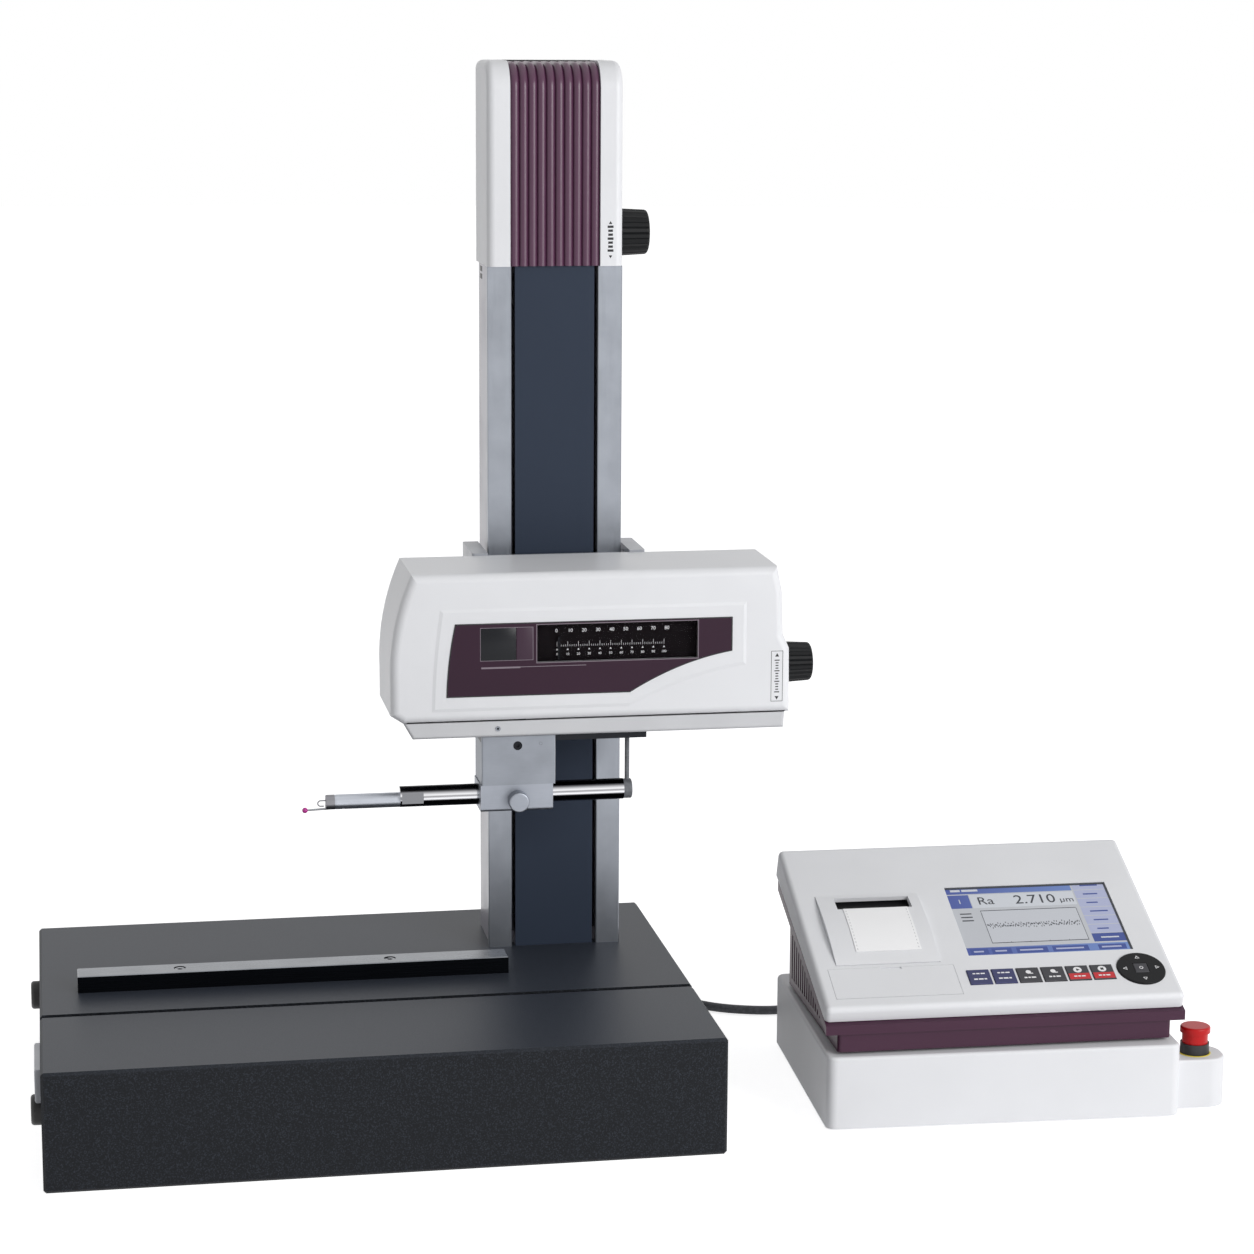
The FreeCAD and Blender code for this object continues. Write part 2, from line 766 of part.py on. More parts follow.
def panel_wire(y, grow):
    """The dark panel's outline: square at the left, swept up at the lower right."""
    left_top = V(panel_left + panel_lean - grow, y, panel_top + grow)
    left_mid = V(panel_left + 0.3 * panel_lean - grow, y, (panel_top + panel_bottom) / 2)
    left_low = V(panel_left - grow, y, panel_bottom - grow)
    sweep_start = V(panel_sweep_x, y, panel_bottom - grow)
    sweep_mid = V(panel_sweep_mid[0] + grow / 2, y, panel_sweep_mid[1] - grow)
    right_low = V(panel_right + grow, y, panel_tab_bottom - grow)
    right_top = V(panel_right + grow, y, panel_top + grow)
    edges = [Part.Arc(left_top, left_mid, left_low).toShape(),
             Part.makeLine(left_low, sweep_start),
             Part.Arc(sweep_start, sweep_mid, right_low).toShape(),
             Part.makeLine(right_low, right_top), Part.makeLine(right_top, left_top)]
    return Part.Wire(edges)


def panel_block(front, thickness, grow):
    block = Part.Face(panel_wire(front, grow)).extrude(V(0, thickness, 0))
    return rounded(block, panel_corner, lambda e: runs_along(e, (0, 1, 0))
                   and abs(middle(e).x - panel_sweep_x) > 1)


def window_block(limits, y, grow):
    return box((limits[0] - grow, limits[1] + grow), y, (limits[2] - grow, limits[3] + grow))


def drive_shell():
    outer = cover_block(unit_front, unit_back, 0)
    outer = rounded(outer, cover_edge_radius, lambda e: middle(e).y < unit_front + 0.01)
    field_front = unit_front - field_rise
    field = Part.makeLoft([panel_wire(unit_front, field_margin),
                           panel_wire(field_front, field_margin - field_edge)], True, True)
    outer = outer.fuse(field)
    inner = cover_block(unit_front + cover_wall, unit_back, cover_wall)
    below = box((unit_left + cover_toe_inset + cover_wall, unit_right - cover_wall - 1.3),
                (unit_front + cover_wall, unit_back), (cover_bottom - 1, cover_bottom + cover_wall + 1))
    recess = panel_block(field_front, panel_recess, 0.15)
    through = window_block(scale_window, (field_front - 1, unit_front + cover_wall + 1), 0)
    knob_hole = rod((unit_right - 3 * cover_wall, traverse_screw_y, traverse_screw_z), (1, 0, 0),
                    4 * cover_wall, traverse_screw_radius + 2.0)
    save("drive_cover", without(outer, [inner, below, recess, through, knob_hole]))

    face_y = field_front + panel_recess - panel_thickness
    panel = panel_block(face_y, panel_thickness, 0)
    pocket = window_block(status_window, (face_y - 1, face_y + 0.8), 0)
    opening = window_block(scale_window, (face_y - 1, face_y + panel_thickness + 1), 0)
    save("drive_panel", without(panel, [pocket, opening]))

    scale_lens = window_block(scale_window, (face_y + 0.3, face_y + 0.3 + window_thickness), 0)
    status_lens = window_block(status_window, (face_y - 0.2, face_y + 0.8), 0)
    save("drive_windows", scale_lens, status_lens)

    inner_face = unit_front + cover_wall
    sheet = window_block(scale_window, (inner_face + 6, inner_face + 8), 5)
    hood = window_block(scale_window, (inner_face, inner_face + 6), 5)
    hollow = box((scale_window[0] - 2, scale_window[1] + 2), (inner_face - 1, inner_face + 7),
                 (scale_window[2] - 10, scale_window[3] + 2))
    save("scale_plate", joined([sheet, hood.cut(hollow)]))


def skirt_section(y, wall):
    """The skirt's front view, with a leaning left end, drawn in by a wall's thickness."""
    left = unit_left + cover_toe_inset + 0.2 + 1.15 * wall
    low = skirt_bottom + wall
    lean = skirt_lean * (cover_bottom - low) / skirt_depth
    right = unit_right - cover_wall - 1.3 - wall
    return [(left, y, cover_bottom), (left + lean, y, low), (right - 1, y, low), (right, y, cover_bottom)]


def drive_chassis():
    plate = cover_block(unit_back - chassis_plate, unit_back, cover_wall + slide_gap)
    skirt_front = unit_front + skirt_inset
    skirt = prism(skirt_section(skirt_front, 0), (0, unit_back - skirt_front, 0))
    skirt = rounded(skirt, 3.0, lambda e: abs(middle(e).y - skirt_front) < 0.01
                    and middle(e).z < cover_bottom - 1)
    hollow = prism(skirt_section(skirt_front + skirt_wall, skirt_wall),
                   (0, unit_back - chassis_plate - skirt_front - skirt_wall, 0))
    riser = box((unit_left + 28, unit_right - 11), (unit_back - chassis_plate, unit_back),
                (cover_bottom - 5, cover_bottom + 20))
    brackets = []
    for left in (bracket_left, bracket_right):
        brackets.append(box((left, left + bracket_thickness),
                            (traverse_screw_y - 20, unit_back - chassis_plate + 1),
                            (skirt_bottom + 2, traverse_screw_z + 14)))
    frame = joined([plate, skirt.cut(hollow), riser] + brackets)
    slot_end = slider_left + slider_length + traverse_travel
    slot = box((slider_left - 4, slot_end + 4), (traverse_screw_y - 12, traverse_screw_y + 12),
               (skirt_bottom - 1, cover_bottom + 1))
    screw_line = rod((bracket_left - 1, traverse_screw_y, traverse_screw_z), (1, 0, 0),
                     bracket_right + bracket_thickness - bracket_left + 2,
                     traverse_screw_radius + running_fit)
    tilt_bore = rod((column_x, unit_back - chassis_plate - 1, tilt_z), (0, 1, 0), chassis_plate + 2,
                    tilt_shaft_radius + running_fit)
    save("drive_chassis", without(frame, [slot, screw_line, tilt_bore]))

    half = rail_block[0] / 2
    rail = box((bracket_left + bracket_thickness, bracket_right),
               (traverse_screw_y - half, traverse_screw_y + half), (rail_bottom, rail_top))
    groove = box((bracket_left, bracket_right + 9), (traverse_screw_y - half - 1, traverse_screw_y - half + 2),
                 (rail_bottom + 4, rail_top - 4))
    save("traverse_rail", without(rail, [groove, groove.translated(V(0, rail_block[0], 0))]))

    motor = rod((bracket_left, traverse_screw_y, traverse_screw_z), (-1, 0, 0), motor_length,
                motor_radius)
    motor = motor.fuse(rod((bracket_left - motor_length, traverse_screw_y, traverse_screw_z),
                           (-1, 0, 0), 3.0, motor_radius / 2))
    bore = rod((bracket_left + 1, traverse_screw_y, traverse_screw_z), (-1, 0, 0), 16,
               traverse_screw_radius - 2 + running_fit)
    save("traverse_motor", motor.cut(bore))


def traverse_drive():
    start = bracket_left + slide_gap
    end = unit_right + drive_knob_length - 6.0
    screw = joined([
        rod((start, traverse_screw_y, traverse_screw_z), (1, 0, 0), end - start, traverse_screw_radius),
        rod((start - 14, traverse_screw_y, traverse_screw_z), (1, 0, 0), 15, traverse_screw_radius - 2)])
    save("traverse_screw", screw)
    knob = ribbed_knob((unit_right + 1.5, traverse_screw_y, traverse_screw_z), drive_knob_radius,
                       drive_knob_length, traverse_screw_radius)
    save("drive_knob", knob)


def slider():
    """Runs on the rail inside the unit, with its plate under the skirt and a pointer in front."""
    x = (slider_left, slider_left + slider_length)
    half = rail_block[0] / 2
    body = box(x, (traverse_screw_y - half - 8, traverse_screw_y + half + 8),
               (rail_bottom - 6, traverse_screw_z + 10))
    neck = box(x, (traverse_screw_y - 10, traverse_screw_y + 10), (slider_plate_bottom, rail_bottom))
    plate = box((slider_plate_left, slider_plate_right), (holder_front + 4, holder_front + holder_depth),
                (slider_plate_bottom, slider_plate_top))
    arm_z = (scale_window[2] - 17, scale_window[2] - 12)
    pointer_y = unit_front + cover_wall + 2
    arm = box((x[1] - 2, pointer_x + 2), (traverse_screw_y - half - 8, traverse_screw_y - half - 4), arm_z)
    reach = box((pointer_x - 2, pointer_x + 2), (pointer_y, traverse_screw_y - half - 4), arm_z)
    pointer = box((pointer_x - 1, pointer_x + 1), (pointer_y, pointer_y + 1.5),
                  (arm_z[0], scale_window[2] + 22))
    rail_way = box((x[0] - 1, x[1] + 1),
                   (traverse_screw_y - half - slide_gap, traverse_screw_y + half + slide_gap),
                   (rail_bottom - slide_gap, rail_top + slide_gap))
    bore = rod((x[0] - 1, traverse_screw_y, traverse_screw_z), (1, 0, 0), slider_length + 2,
               traverse_screw_radius + running_fit)
    whole = joined([body, neck, plate, arm, reach, pointer])
    save("traverse_slider", without(whole, [rail_way, bore]))


def holder():
    y = (holder_front, holder_front + holder_depth)
    block = box((holder_left, holder_right), y, (holder_bottom, slider_plate_top))
    pocket = box((holder_left - 1, holder_right + 1), (holder_front + 4, y[1] + 1),
                 (slider_plate_bottom, slider_plate_top + 1))
    socket = rod((clamp_knob_x, holder_front - 1, holder_bottom + 37), (0, 1, 0), 4.5, 4.2)
    block = rounded(block, 1.5, lambda e: runs_along(e, (0, 0, 1)) and middle(e).y < holder_front + 1)
    save("holder_block", without(block, [pocket, socket]))

    clamp = box((holder_left - 1, holder_right - 2.5), y, (clamp_bottom, holder_bottom))
    clamp = rounded(clamp, 3.0, lambda e: runs_along(e, (1, 0, 0)) and middle(e).z < clamp_bottom + 1)
    bore = rod((holder_left - 2, tube_y, tube_z), (1, 0, 0), holder_width + 4, tube_radius)
    screw_hole = rod((clamp_knob_x, holder_front - 1, clamp_knob_z), (0, 1, 0), 16,
                     clamp_screw_radius + running_fit)
    save("clamp_block", without(clamp, [bore, screw_hole]))

    start = holder_front - slide_gap
    knob = rod((clamp_knob_x, start, clamp_knob_z), (0, -1, 0), clamp_knob_length, clamp_knob_radius)
    far = V(clamp_knob_x, start - clamp_knob_length, clamp_knob_z)
    knob = rounded(knob, 1.5, lambda e: (middle(e) - far).Length < 0.01)
    depth = tube_y - tube_radius - slide_gap - start
    stem = rod((clamp_knob_x, start - 1, clamp_knob_z), (0, 1, 0), depth + 1, clamp_screw_radius)
    save("clamp_knob", joined([knob, stem]))


def probe_tube():
    barrel = pipe((tube_left, tube_y, tube_z), (1, 0, 0), tube_right - tube_left, tube_radius, tube_bore)
    end = rod((tube_left, tube_y, tube_z), (1, 0, 0), spigot_length + 2, tube_radius)
    socket = rod((tube_left - 1, tube_y, detector_z), (1, 0, 0), spigot_length + 1, spigot_radius)
    flats = []
    for side in (-1, 1):
        low = tube_y + side * tube_flat
        flats.append(box((tube_left + 1.5, tube_left + 1.5 + tube_flat_length),
                         (min(low, low + side * 10), max(low, low + side * 10)),
                         (tube_z - 20, tube_z + 20)))
    save("detector_tube", without(joined([barrel, end]), [socket] + flats))

    plug = rod((tube_right, tube_y, tube_z), (1, 0, 0), plug_length, tube_radius - 0.6)
    plug = rounded(plug, 1.0, lambda e: abs(middle(e).x - tube_right - plug_length) < 0.01)
    lead_x = tube_right + plug_length / 2
    lead = rod((lead_x, tube_y, tube_z), (0, 0, 1), slider_plate_bottom - tube_z, lead_radius)
    save("detector_lead", joined([plug, lead]))


def detector():
    body = rod((nose_x, tube_y, detector_z), (1, 0, 0), detector_length, detector_radius)
    body = rounded(body, 1.0, lambda e: abs(middle(e).x - nose_x) < 0.01)
    ring = rod((nose_x + 8.5, tube_y, detector_z), (1, 0, 0), 1.0, detector_radius + 1)
    ring = ring.cut(rod((nose_x + 8, tube_y, detector_z), (1, 0, 0), 2, detector_radius - 0.5))
    spigot = rod((tube_left - 1, tube_y, detector_z), (1, 0, 0), spigot_length, spigot_radius)
    slot = box((nose_x - 1, nose_x + 26), (tube_y - slot_in_nose / 2, tube_y + slot_in_nose / 2),
               (detector_z - 10, detector_z - 2))
    pin_hole = rod((pivot_x, tube_y - 4.2, stylus_z), (0, 1, 0), 8.4, pivot_radius + running_fit)
    loop_z = detector_z - 1.0
    loop = Part.makeTorus(2.6, 0.6, V(nose_x - 4.5, tube_y, loop_z), V(0, 1, 0))
    loop = loop.common(box((nose_x - 12, nose_x - 4.5), (tube_y - 2, tube_y + 2), (loop_z - 5, loop_z + 5)))
    wires = [rod((nose_x - 4.5, tube_y, loop_z + side * 2.6), (1, 0, 0), 8, 0.6) for side in (-1, 1)]
    wires[0] = rod((nose_x - 4.5, tube_y, loop_z - 2.6), (1, 0, 0), 3, 0.6)
    solid = without(joined([body, spigot]), [ring, slot, pin_hole])
    save("detector_body", solid.fuse([loop] + wires).removeSplitter())

    tip = V(nose_x - stylus_reach + 1.0, tube_y, detector_z - ball_drop)
    root = V(pivot_x + 4, tube_y, stylus_z)
    arm = Part.makeCone(stylus_radius, stylus_radius * 0.7, (tip - root).Length, root, tip - root)
    pin = rod((pivot_x, tube_y - 4, stylus_z), (0, 1, 0), 8, pivot_radius)
    ball = Part.makeSphere(ball_radius, tip)
    save("stylus_arm", joined([arm, pin, ball]))


def controller_box():
    x = (0, box_width)
    y = (0, box_depth)
    shell = rounded_box(x, y, (foot_height, box_top), 9.0)
    shell = rounded(shell, 3.0, lambda e: middle(e).z > box_top - 0.01)
    cavity = box((box_wall, box_width - box_wall), (box_wall, box_depth - box_wall),
                 (foot_height + box_wall, box_top - box_wall))
    inlet = box(inlet_x, (box_depth - inlet_depth, box_depth + 1), inlet_height)
    save("control_box", on_bench(without(shell, [cavity, inlet])))

    feet = []
    for left in (foot_inset, box_width - foot_inset):
        for front in (foot_inset, box_depth - foot_inset):
            feet.append(rod((left, front, 0), (0, 0, 1), foot_height, foot_radius))
    edge = tray_inset + foot_radius + 3
    for left in (deck_x + edge, deck_x + deck_width - edge):
        for front in (deck_front + edge, deck_front + deck_reach - edge):
            feet.append(on_unit(rod((left, front, box_top), (0, 0, 1), foot_height, foot_radius)))
    save("rubber_feet", *[on_bench(foot) for foot in feet])

    length, depth, height = supply_size
    left = box_width - box_wall - supply_gap - length
    base = foot_height + box_wall
    case = box((left, left + length), (supply_front, supply_front + depth), (base, base + height))
    case = case.makeChamfer(1.5, case.Edges)
    fin_left = left + (length - (fin_count - 1) * fin_pitch - fin_width) / 2
    fin_y = supply_front + (depth - fin_length) / 2
    fins = []
    for index in range(fin_count):
        fin_x = fin_left + index * fin_pitch
        fins.append(box((fin_x, fin_x + fin_width), (fin_y, fin_y + fin_length),
                        (base + height - 1, base + height + fin_height)))
    save("power_supply", on_bench(case.fuse(fins)))


def rear_sockets():
    """The mains inlet, and a gland at each end of the cable."""
    inlet = box(inlet_x, (box_depth - inlet_depth, box_depth + inlet_lip), inlet_height)
    cup = box((inlet_x[0] + 4, inlet_x[1] - 4), (box_depth - inlet_depth + 2, box_depth + inlet_lip + 1),
              (inlet_height[0] + 4, inlet_height[1] - 4))
    centre = ((inlet_x[0] + inlet_x[1]) / 2, (inlet_height[0] + inlet_height[1]) / 2)
    pins = [box((centre[0] + x - 1, centre[0] + x + 1), (box_depth - inlet_depth + 1, box_depth),
                (centre[1] - 3, centre[1] + 3)) for x in (-6, 0, 6)]
    inlet = joined([inlet.cut(cup)] + pins)
    column_gland = gland((column_x, column_back, cable_points[0][2]), (0, 1, 0))
    rear_gland = Part.makeCone(gland_radius, cable_radius + 1.5, rear_gland_length,
                               V(rear_gland_x, box_depth, rear_gland_z), V(0, 1, 0))
    save("rear_sockets", on_bench(inlet), column_gland, on_bench(rear_gland))


def gland(start, direction):
    nut = rod(start, direction, gland_length * 0.4, gland_radius)
    nose = Part.makeCone(gland_radius * 0.85, cable_radius + 1.0, gland_length * 0.6,
                         V(*start) + V(*direction) * (gland_length * 0.4), V(*direction))
    return joined([nut, nose])


def cable():
    """Straight runs joined by tangent arcs, as large as the runs allow."""
    points = [V(*point) for point in cable_points]
    edges = []
    radii = []
    start = points[0]
    for before, corner, after in zip(points, points[1:], points[2:]):
        into = (corner - before).normalize()
        out = (after - corner).normalize()
        half_turn = math.acos(max(-1.0, min(1.0, into.dot(out)))) / 2
        setback = 0.45 * min((corner - before).Length, (after - corner).Length)
        radius = setback / math.tan(half_turn)
        radii.append(radius)
        arc_start = corner - into * setback
        arc_end = corner + out * setback
        inward = (out - into).normalize()
        centre = corner + inward * (setback / math.sin(half_turn))
        edges.append(Part.LineSegment(start, arc_start).toShape())
        edges.append(Part.Arc(arc_start, centre - inward * radius, arc_end).toShape())
        start = arc_end
    edges.append(Part.LineSegment(start, points[-1]).toShape())
    path = Part.Wire(edges)
    circle = Part.Wire(Part.makeCircle(cable_radius, points[0], points[1] - points[0]))
    solid = path.makePipeShell([circle], True, False)
    print("cable radii", [round(radius) for radius in radii])
    print("cable volume ratio", solid.Volume / (math.pi * cable_radius ** 2 * path.Length))
    print("cable length", round(path.Length))
    save("link_cable", solid)


def estop():
    width, depth, height = estop_block
    x = (box_width, box_width + width)
    y = (estop_block_front, estop_block_front + depth)
    block = box(x, y, (estop_block_z, estop_top))
    block = rounded(block, depth / 2 - 4, lambda e: runs_along(e, (0, 0, 1)) and middle(e).x > x[1] - 1)
    block = rounded(block, 2.0, lambda e: middle(e).z > estop_top - 0.01 and middle(e).x > x[0] + 0.1)
    centre = box_width + estop_x
    well = rod((centre, estop_y, estop_top + 1), (0, 0, -1), stem_length + 5, stem_radius + slide_gap)
    save("estop_box", on_bench(block.cut(well)))

    collar = pipe((centre, estop_y, estop_top), (0, 0, 1), collar_height, collar_radius,
                  neck_radius + slide_gap)
    save("estop_collar", on_bench(collar))

    neck_z = estop_top + estop_travel + 0.5
    cap_z = estop_top + collar_height + neck_shown
    neck = rod((centre, estop_y, neck_z), (0, 0, 1), cap_z - neck_z, neck_radius)
    cap = rod((centre, estop_y, cap_z), (0, 0, 1), cap_thickness, cap_radius)
    cap = rounded(cap, 2.0, lambda e: middle(e).z > cap_z + 0.1)
    stem = rod((centre, estop_y, neck_z), (0, 0, -1), stem_length, stem_radius)
    save("estop_cap", on_bench(joined([neck, cap, stem])))


def deck_cut(limits, w, grow=0.0):
    """A block in the deck's frame from (u low, u high, v low, v high)."""
    return box((limits[0] - grow, limits[1] + grow), (limits[2] - grow, limits[3] + grow), w)


def key_limits(index):
    centre = key_left + (index + 0.5) * key_pitch
    return (centre - key_width / 2, centre + key_width / 2, key_v - key_depth / 2,
            key_v + key_depth / 2)


def rim_profile(grow):
    """The cover's side view in the deck's frame: a wedge that is deeper at the back."""
    return [(0, grow, -grow), (0, deck_length - grow, -grow),
            (0, deck_length - grow, -rim_back - 1), (0, grow, -rim_front)]


def display_cover():
    outer = prism(rim_profile(0), (deck_width, 0, 0))
    outer = rounded(outer, 5.0, lambda e: middle(e).z > -0.01
                    or (abs(middle(e).x - deck_width / 2) > deck_width / 2 - 0.01
                        and min(middle(e).y, deck_length - middle(e).y) < 0.01))
    wall = shell_wall
    inner = prism([(wall, wall, -wall), (wall, deck_length - wall, -wall),
                   (wall, deck_length - wall, -rim_back - 20), (wall, wall, -rim_front - 20)],
                  (deck_width - 2 * wall, 0, 0))
    through = (-wall - 1, 1)
    cutters = [inner, deck_cut(lcd_window, through), deck_cut(printer_bay, through),
               deck_cut(access_bay, through)]
    for index in range(key_count):
        cutters.append(deck_cut(key_limits(index), through, key_gap))
    cutters.append(rod((pad_u, pad_v, through[0]), (0, 0, 1), wall + 2, pad_radius + key_gap))
    for bay in (printer_bay, access_bay):
        pin_v = bay[2] + hinge_inset
        for side, start in ((1, bay[0] - hinge_pin_length - 0.2), (1, bay[1])):
            cutters.append(rod((start, pin_v, -wall / 2), (side, 0, 0), hinge_pin_length + 0.2,
                               hinge_pin + running_fit))
    save("unit_cover", on_bench(on_deck(without(outer, cutters))))


def display_tray():
    """The lower half: a flange under the cover's rim, and a deeper inset tray with louvred sides."""
    tilt = math.tan(math.radians(deck_tilt))
    front = deck_front + 4
    back = deck_front + deck_reach - 2
    x = (deck_x + tray_inset, deck_x + deck_width - tray_inset)
    rim_slope = (rim_back + 1 - rim_front) / deck_length

    def under(y, extra):
        along = (y - deck_front) / math.cos(math.radians(deck_tilt))
        depth = (rim_front + rim_slope * along) / math.cos(math.radians(deck_tilt))
        return deck_lip + (y - deck_front) * tilt - depth - extra

    body = prism([(x[0], front, tray_bottom), (x[0], front, under(front, 1)),
                  (x[0], back, under(back, 1)), (x[0], back, tray_bottom)], (x[1] - x[0], 0, 0))
    body = rounded(body, 4.0, lambda e: runs_along(e, (0, 0, 1)))
    flange_front = deck_front + 0.5
    flange = prism([(deck_x, flange_front, under(flange_front, 0.2)),
                    (deck_x, back, under(back, 0.2)),
                    (deck_x, back, under(back, tray_flange)),
                    (deck_x, flange_front, under(flange_front, tray_flange))], (deck_width, 0, 0))
    wall = tray_wall
    hollow = prism([(x[0] + wall, front + wall, tray_bottom + wall),
                    (x[0] + wall, front + wall, under(front, -60)),
                    (x[0] + wall, back - wall, under(back, -60)),
                    (x[0] + wall, back - wall, tray_bottom + wall)], (x[1] - x[0] - 2 * wall, 0, 0))
    louvres = []
    for index in range(louvre_count):
        y = back - 14 - index * louvre_pitch
        top = under(y, tray_flange + 5)
        for side in (x[0] - 2, x[1] - wall - 2):
            louvres.append(box((side, side + wall + 4), (y - louvre_width, y), (tray_bottom + 8, top)))
    save("unit_tray", on_bench(on_unit(without(joined([body, flange]), [hollow] + louvres))))


def display_inside():
    wall = shell_wall
    frame = deck_cut(lcd_window, (-wall - lcd_thickness, -wall), 3.0)
    glass = deck_cut(lcd_window, (-wall - 1, -1.0), -0.2)
    save("lcd_module", on_bench(on_deck(joined([frame, glass]))))

    under = -board_depth - board_thickness
    board = box((board_left, board_right), (board_front, board_back), (under, -board_depth))
    posts = [rod((u, v, -board_depth), (0, 0, 1), board_depth - wall, post_radius)
             for u in (board_left + board_inset, board_right - board_inset)
             for v in (board_front + board_inset, board_back - board_inset)]
    chips = []
    for share in (0.2, 0.5, 0.8):
        u = board_left + share * (board_right - board_left) - chip_size / 2
        chips += [box((u, u + chip_size), (v, v + chip_size), (under - 2, under)) for v in chip_rows]
    switch_top = -pad_button_thickness - pad_button_travel - slide_gap
    switch = rod((pad_u, pad_v, -board_depth), (0, 0, 1), board_depth + switch_top, pad_switch_radius)
    save("main_board", on_bench(on_deck(joined([board, switch] + posts + chips))))

    plate_v = (printer_bay[2] + 8, printer_bay[3] + 4)
    low = roll_w - roll_radius - 4
    left = (printer_bay[0] - 4.5, printer_bay[0] - 0.5)
    right = (printer_bay[1] + 0.5, printer_bay[1] + 4.5)
    sides = [box(u, plate_v, (low, -wall)) for u in (left, right)]
    head = box((left[0], right[1]), (printer_bay[2] + frame_head[0], plate_v[1]), frame_head[1:])
    tie = box((left[0], right[1]), plate_v, (low, low + 3))
    pin_hole = rod((left[0] - 1, roll_v, roll_w), (1, 0, 0), right[1] - left[0] + 2,
                   roll_pin + running_fit)
    save("printer_frame", on_bench(on_deck(joined(sides + [head, tie]).cut(pin_hole))))


def keys():
    for index in range(key_count):
        limits = key_limits(index)
        cap = deck_cut(limits, (-4.0, 1.2))
        cap = rounded(cap, 0.8, lambda e: middle(e).z > 1.19)
        centre = ((limits[0] + limits[1]) / 2, key_v)
        stem = rod((centre[0], centre[1], -4), (0, 0, -1), board_depth - 4 - key_travel - 0.3, 3.0)
        save("key_%d" % (index + 1), on_bench(on_deck(joined([cap, stem]))))


def pad():
    disc = rod((pad_u, pad_v, -3.2), (0, 0, 1), 4.8, pad_radius)
    disc = rounded(disc, 1.2, lambda e: middle(e).z > 1.5)
    half = pad_button / 2
    well = box((pad_u - half - key_gap, pad_u + half + key_gap),
               (pad_v - half - key_gap, pad_v + half + key_gap), (-5, 3))
    save("nav_pad", on_bench(on_deck(disc.cut(well))))
    button = box((pad_u - half, pad_u + half), (pad_v - half, pad_v + half),
                 (-pad_button_thickness, 1.8))
    button = rounded(button, 0.8, lambda e: middle(e).z > 1.79)
    save("nav_button", on_bench(on_deck(button)))


def lid_arc():
    """The lid's bulge as an arc in the deck's frame: its middle v, centre height and radius."""
    half = (printer_bay[3] - key_gap - printer_bay[2] - hinge_gap) / 2
    rise = lid_bulge - lid_edge
    radius = (half * half + rise * rise) / (2 * rise)
    return (printer_bay[2] + hinge_gap + half, lid_bulge - radius, radius)


def printer():
    u = (printer_bay[0] + key_gap, printer_bay[1] - key_gap)
    v = (printer_bay[2] + hinge_gap, printer_bay[3] - key_gap)
    low = V(u[0], v[0], lid_edge)
    crown = V(u[0], (v[0] + v[1]) / 2, lid_bulge)
    high = V(u[0], v[1], lid_edge)
    profile = Part.Wire([Part.Arc(low, crown, high).toShape(),
                         Part.makeLine(high, V(u[0], v[1], -shell_wall)),
                         Part.makeLine(V(u[0], v[1], -shell_wall), V(u[0], v[0], -shell_wall + 0.4)),
                         Part.makeLine(V(u[0], v[0], -shell_wall + 0.4), low)])
    lid = Part.Face(profile).extrude(V(u[1] - u[0], 0, 0))
    pin_v = printer_bay[2] + hinge_inset
    pins = hinge_pins(printer_bay, pin_v)
    cheeks = []
    for side in (roll_left - 4, roll_right + 1):
        cheeks.append(box((side, side + 3), (platen_v - 4, platen_v + 4), (-shell_wall - 9, -shell_wall + 1)))
    holes = rod((roll_left - 6, platen_v, -shell_wall - 6), (1, 0, 0), paper_width + 12,
                platen_pin + running_fit)
    mouth = deck_cut(paper_slot, (-shell_wall - 1, lid_bulge + 1))
    save("printer_lid", on_bench(on_deck(without(joined([lid] + pins + cheeks), [holes, mouth]))))

    roller = joined([
        rod((roll_left - 0.5, platen_v, -shell_wall - 6), (1, 0, 0), paper_width + 1, platen_radius),
        rod((roll_left - 4, platen_v, -shell_wall - 6), (1, 0, 0), paper_width + 8, platen_pin)])
    save("platen_roller", on_bench(on_deck(roller)))

    roll = joined([
        rod((roll_left, roll_v, roll_w), (1, 0, 0), paper_width, roll_radius),
        rod((printer_bay[0] - 4, roll_v, roll_w), (1, 0, 0), printer_bay[1] - printer_bay[0] + 8,
            roll_pin)])
    save("paper_roll", on_bench(on_deck(roll)))
    strip()


def strip():
    """The printed strip, from the slot's tear edge down over the bulging lid."""
    mid_v, mid_w, radius = lid_arc()
    ends = (paper_end, (paper_end + paper_slot[2]) / 2, paper_slot[2] - 0.5)

    def on_arc(v, lift):
        reach = radius + lift
        return V(roll_left, v, mid_w + math.sqrt(reach * reach - (v - mid_v) ** 2))

    under = [on_arc(v, slide_gap) for v in ends]
    over = [on_arc(v, slide_gap + paper_thickness) for v in ends]
    profile = Part.Wire([Part.Arc(*under).toShape(), Part.makeLine(under[2], over[2]),
                         Part.Arc(over[2], over[1], over[0]).toShape(),
                         Part.makeLine(over[0], under[0])])
    sheet = Part.Face(profile).extrude(V(paper_width, 0, 0))
    save("paper_strip", on_bench(on_deck(sheet)))


def hinge_pins(bay, pin_v):
    """Two stub pins that stand out of a flap into the cover."""
    left = rod((bay[0] - hinge_pin_length, pin_v, -shell_wall / 2), (1, 0, 0),
               hinge_pin_length + 3, hinge_pin)
    right = rod((bay[1] + hinge_pin_length, pin_v, -shell_wall / 2), (-1, 0, 0),
                hinge_pin_length + 3, hinge_pin)
    return [left, right]


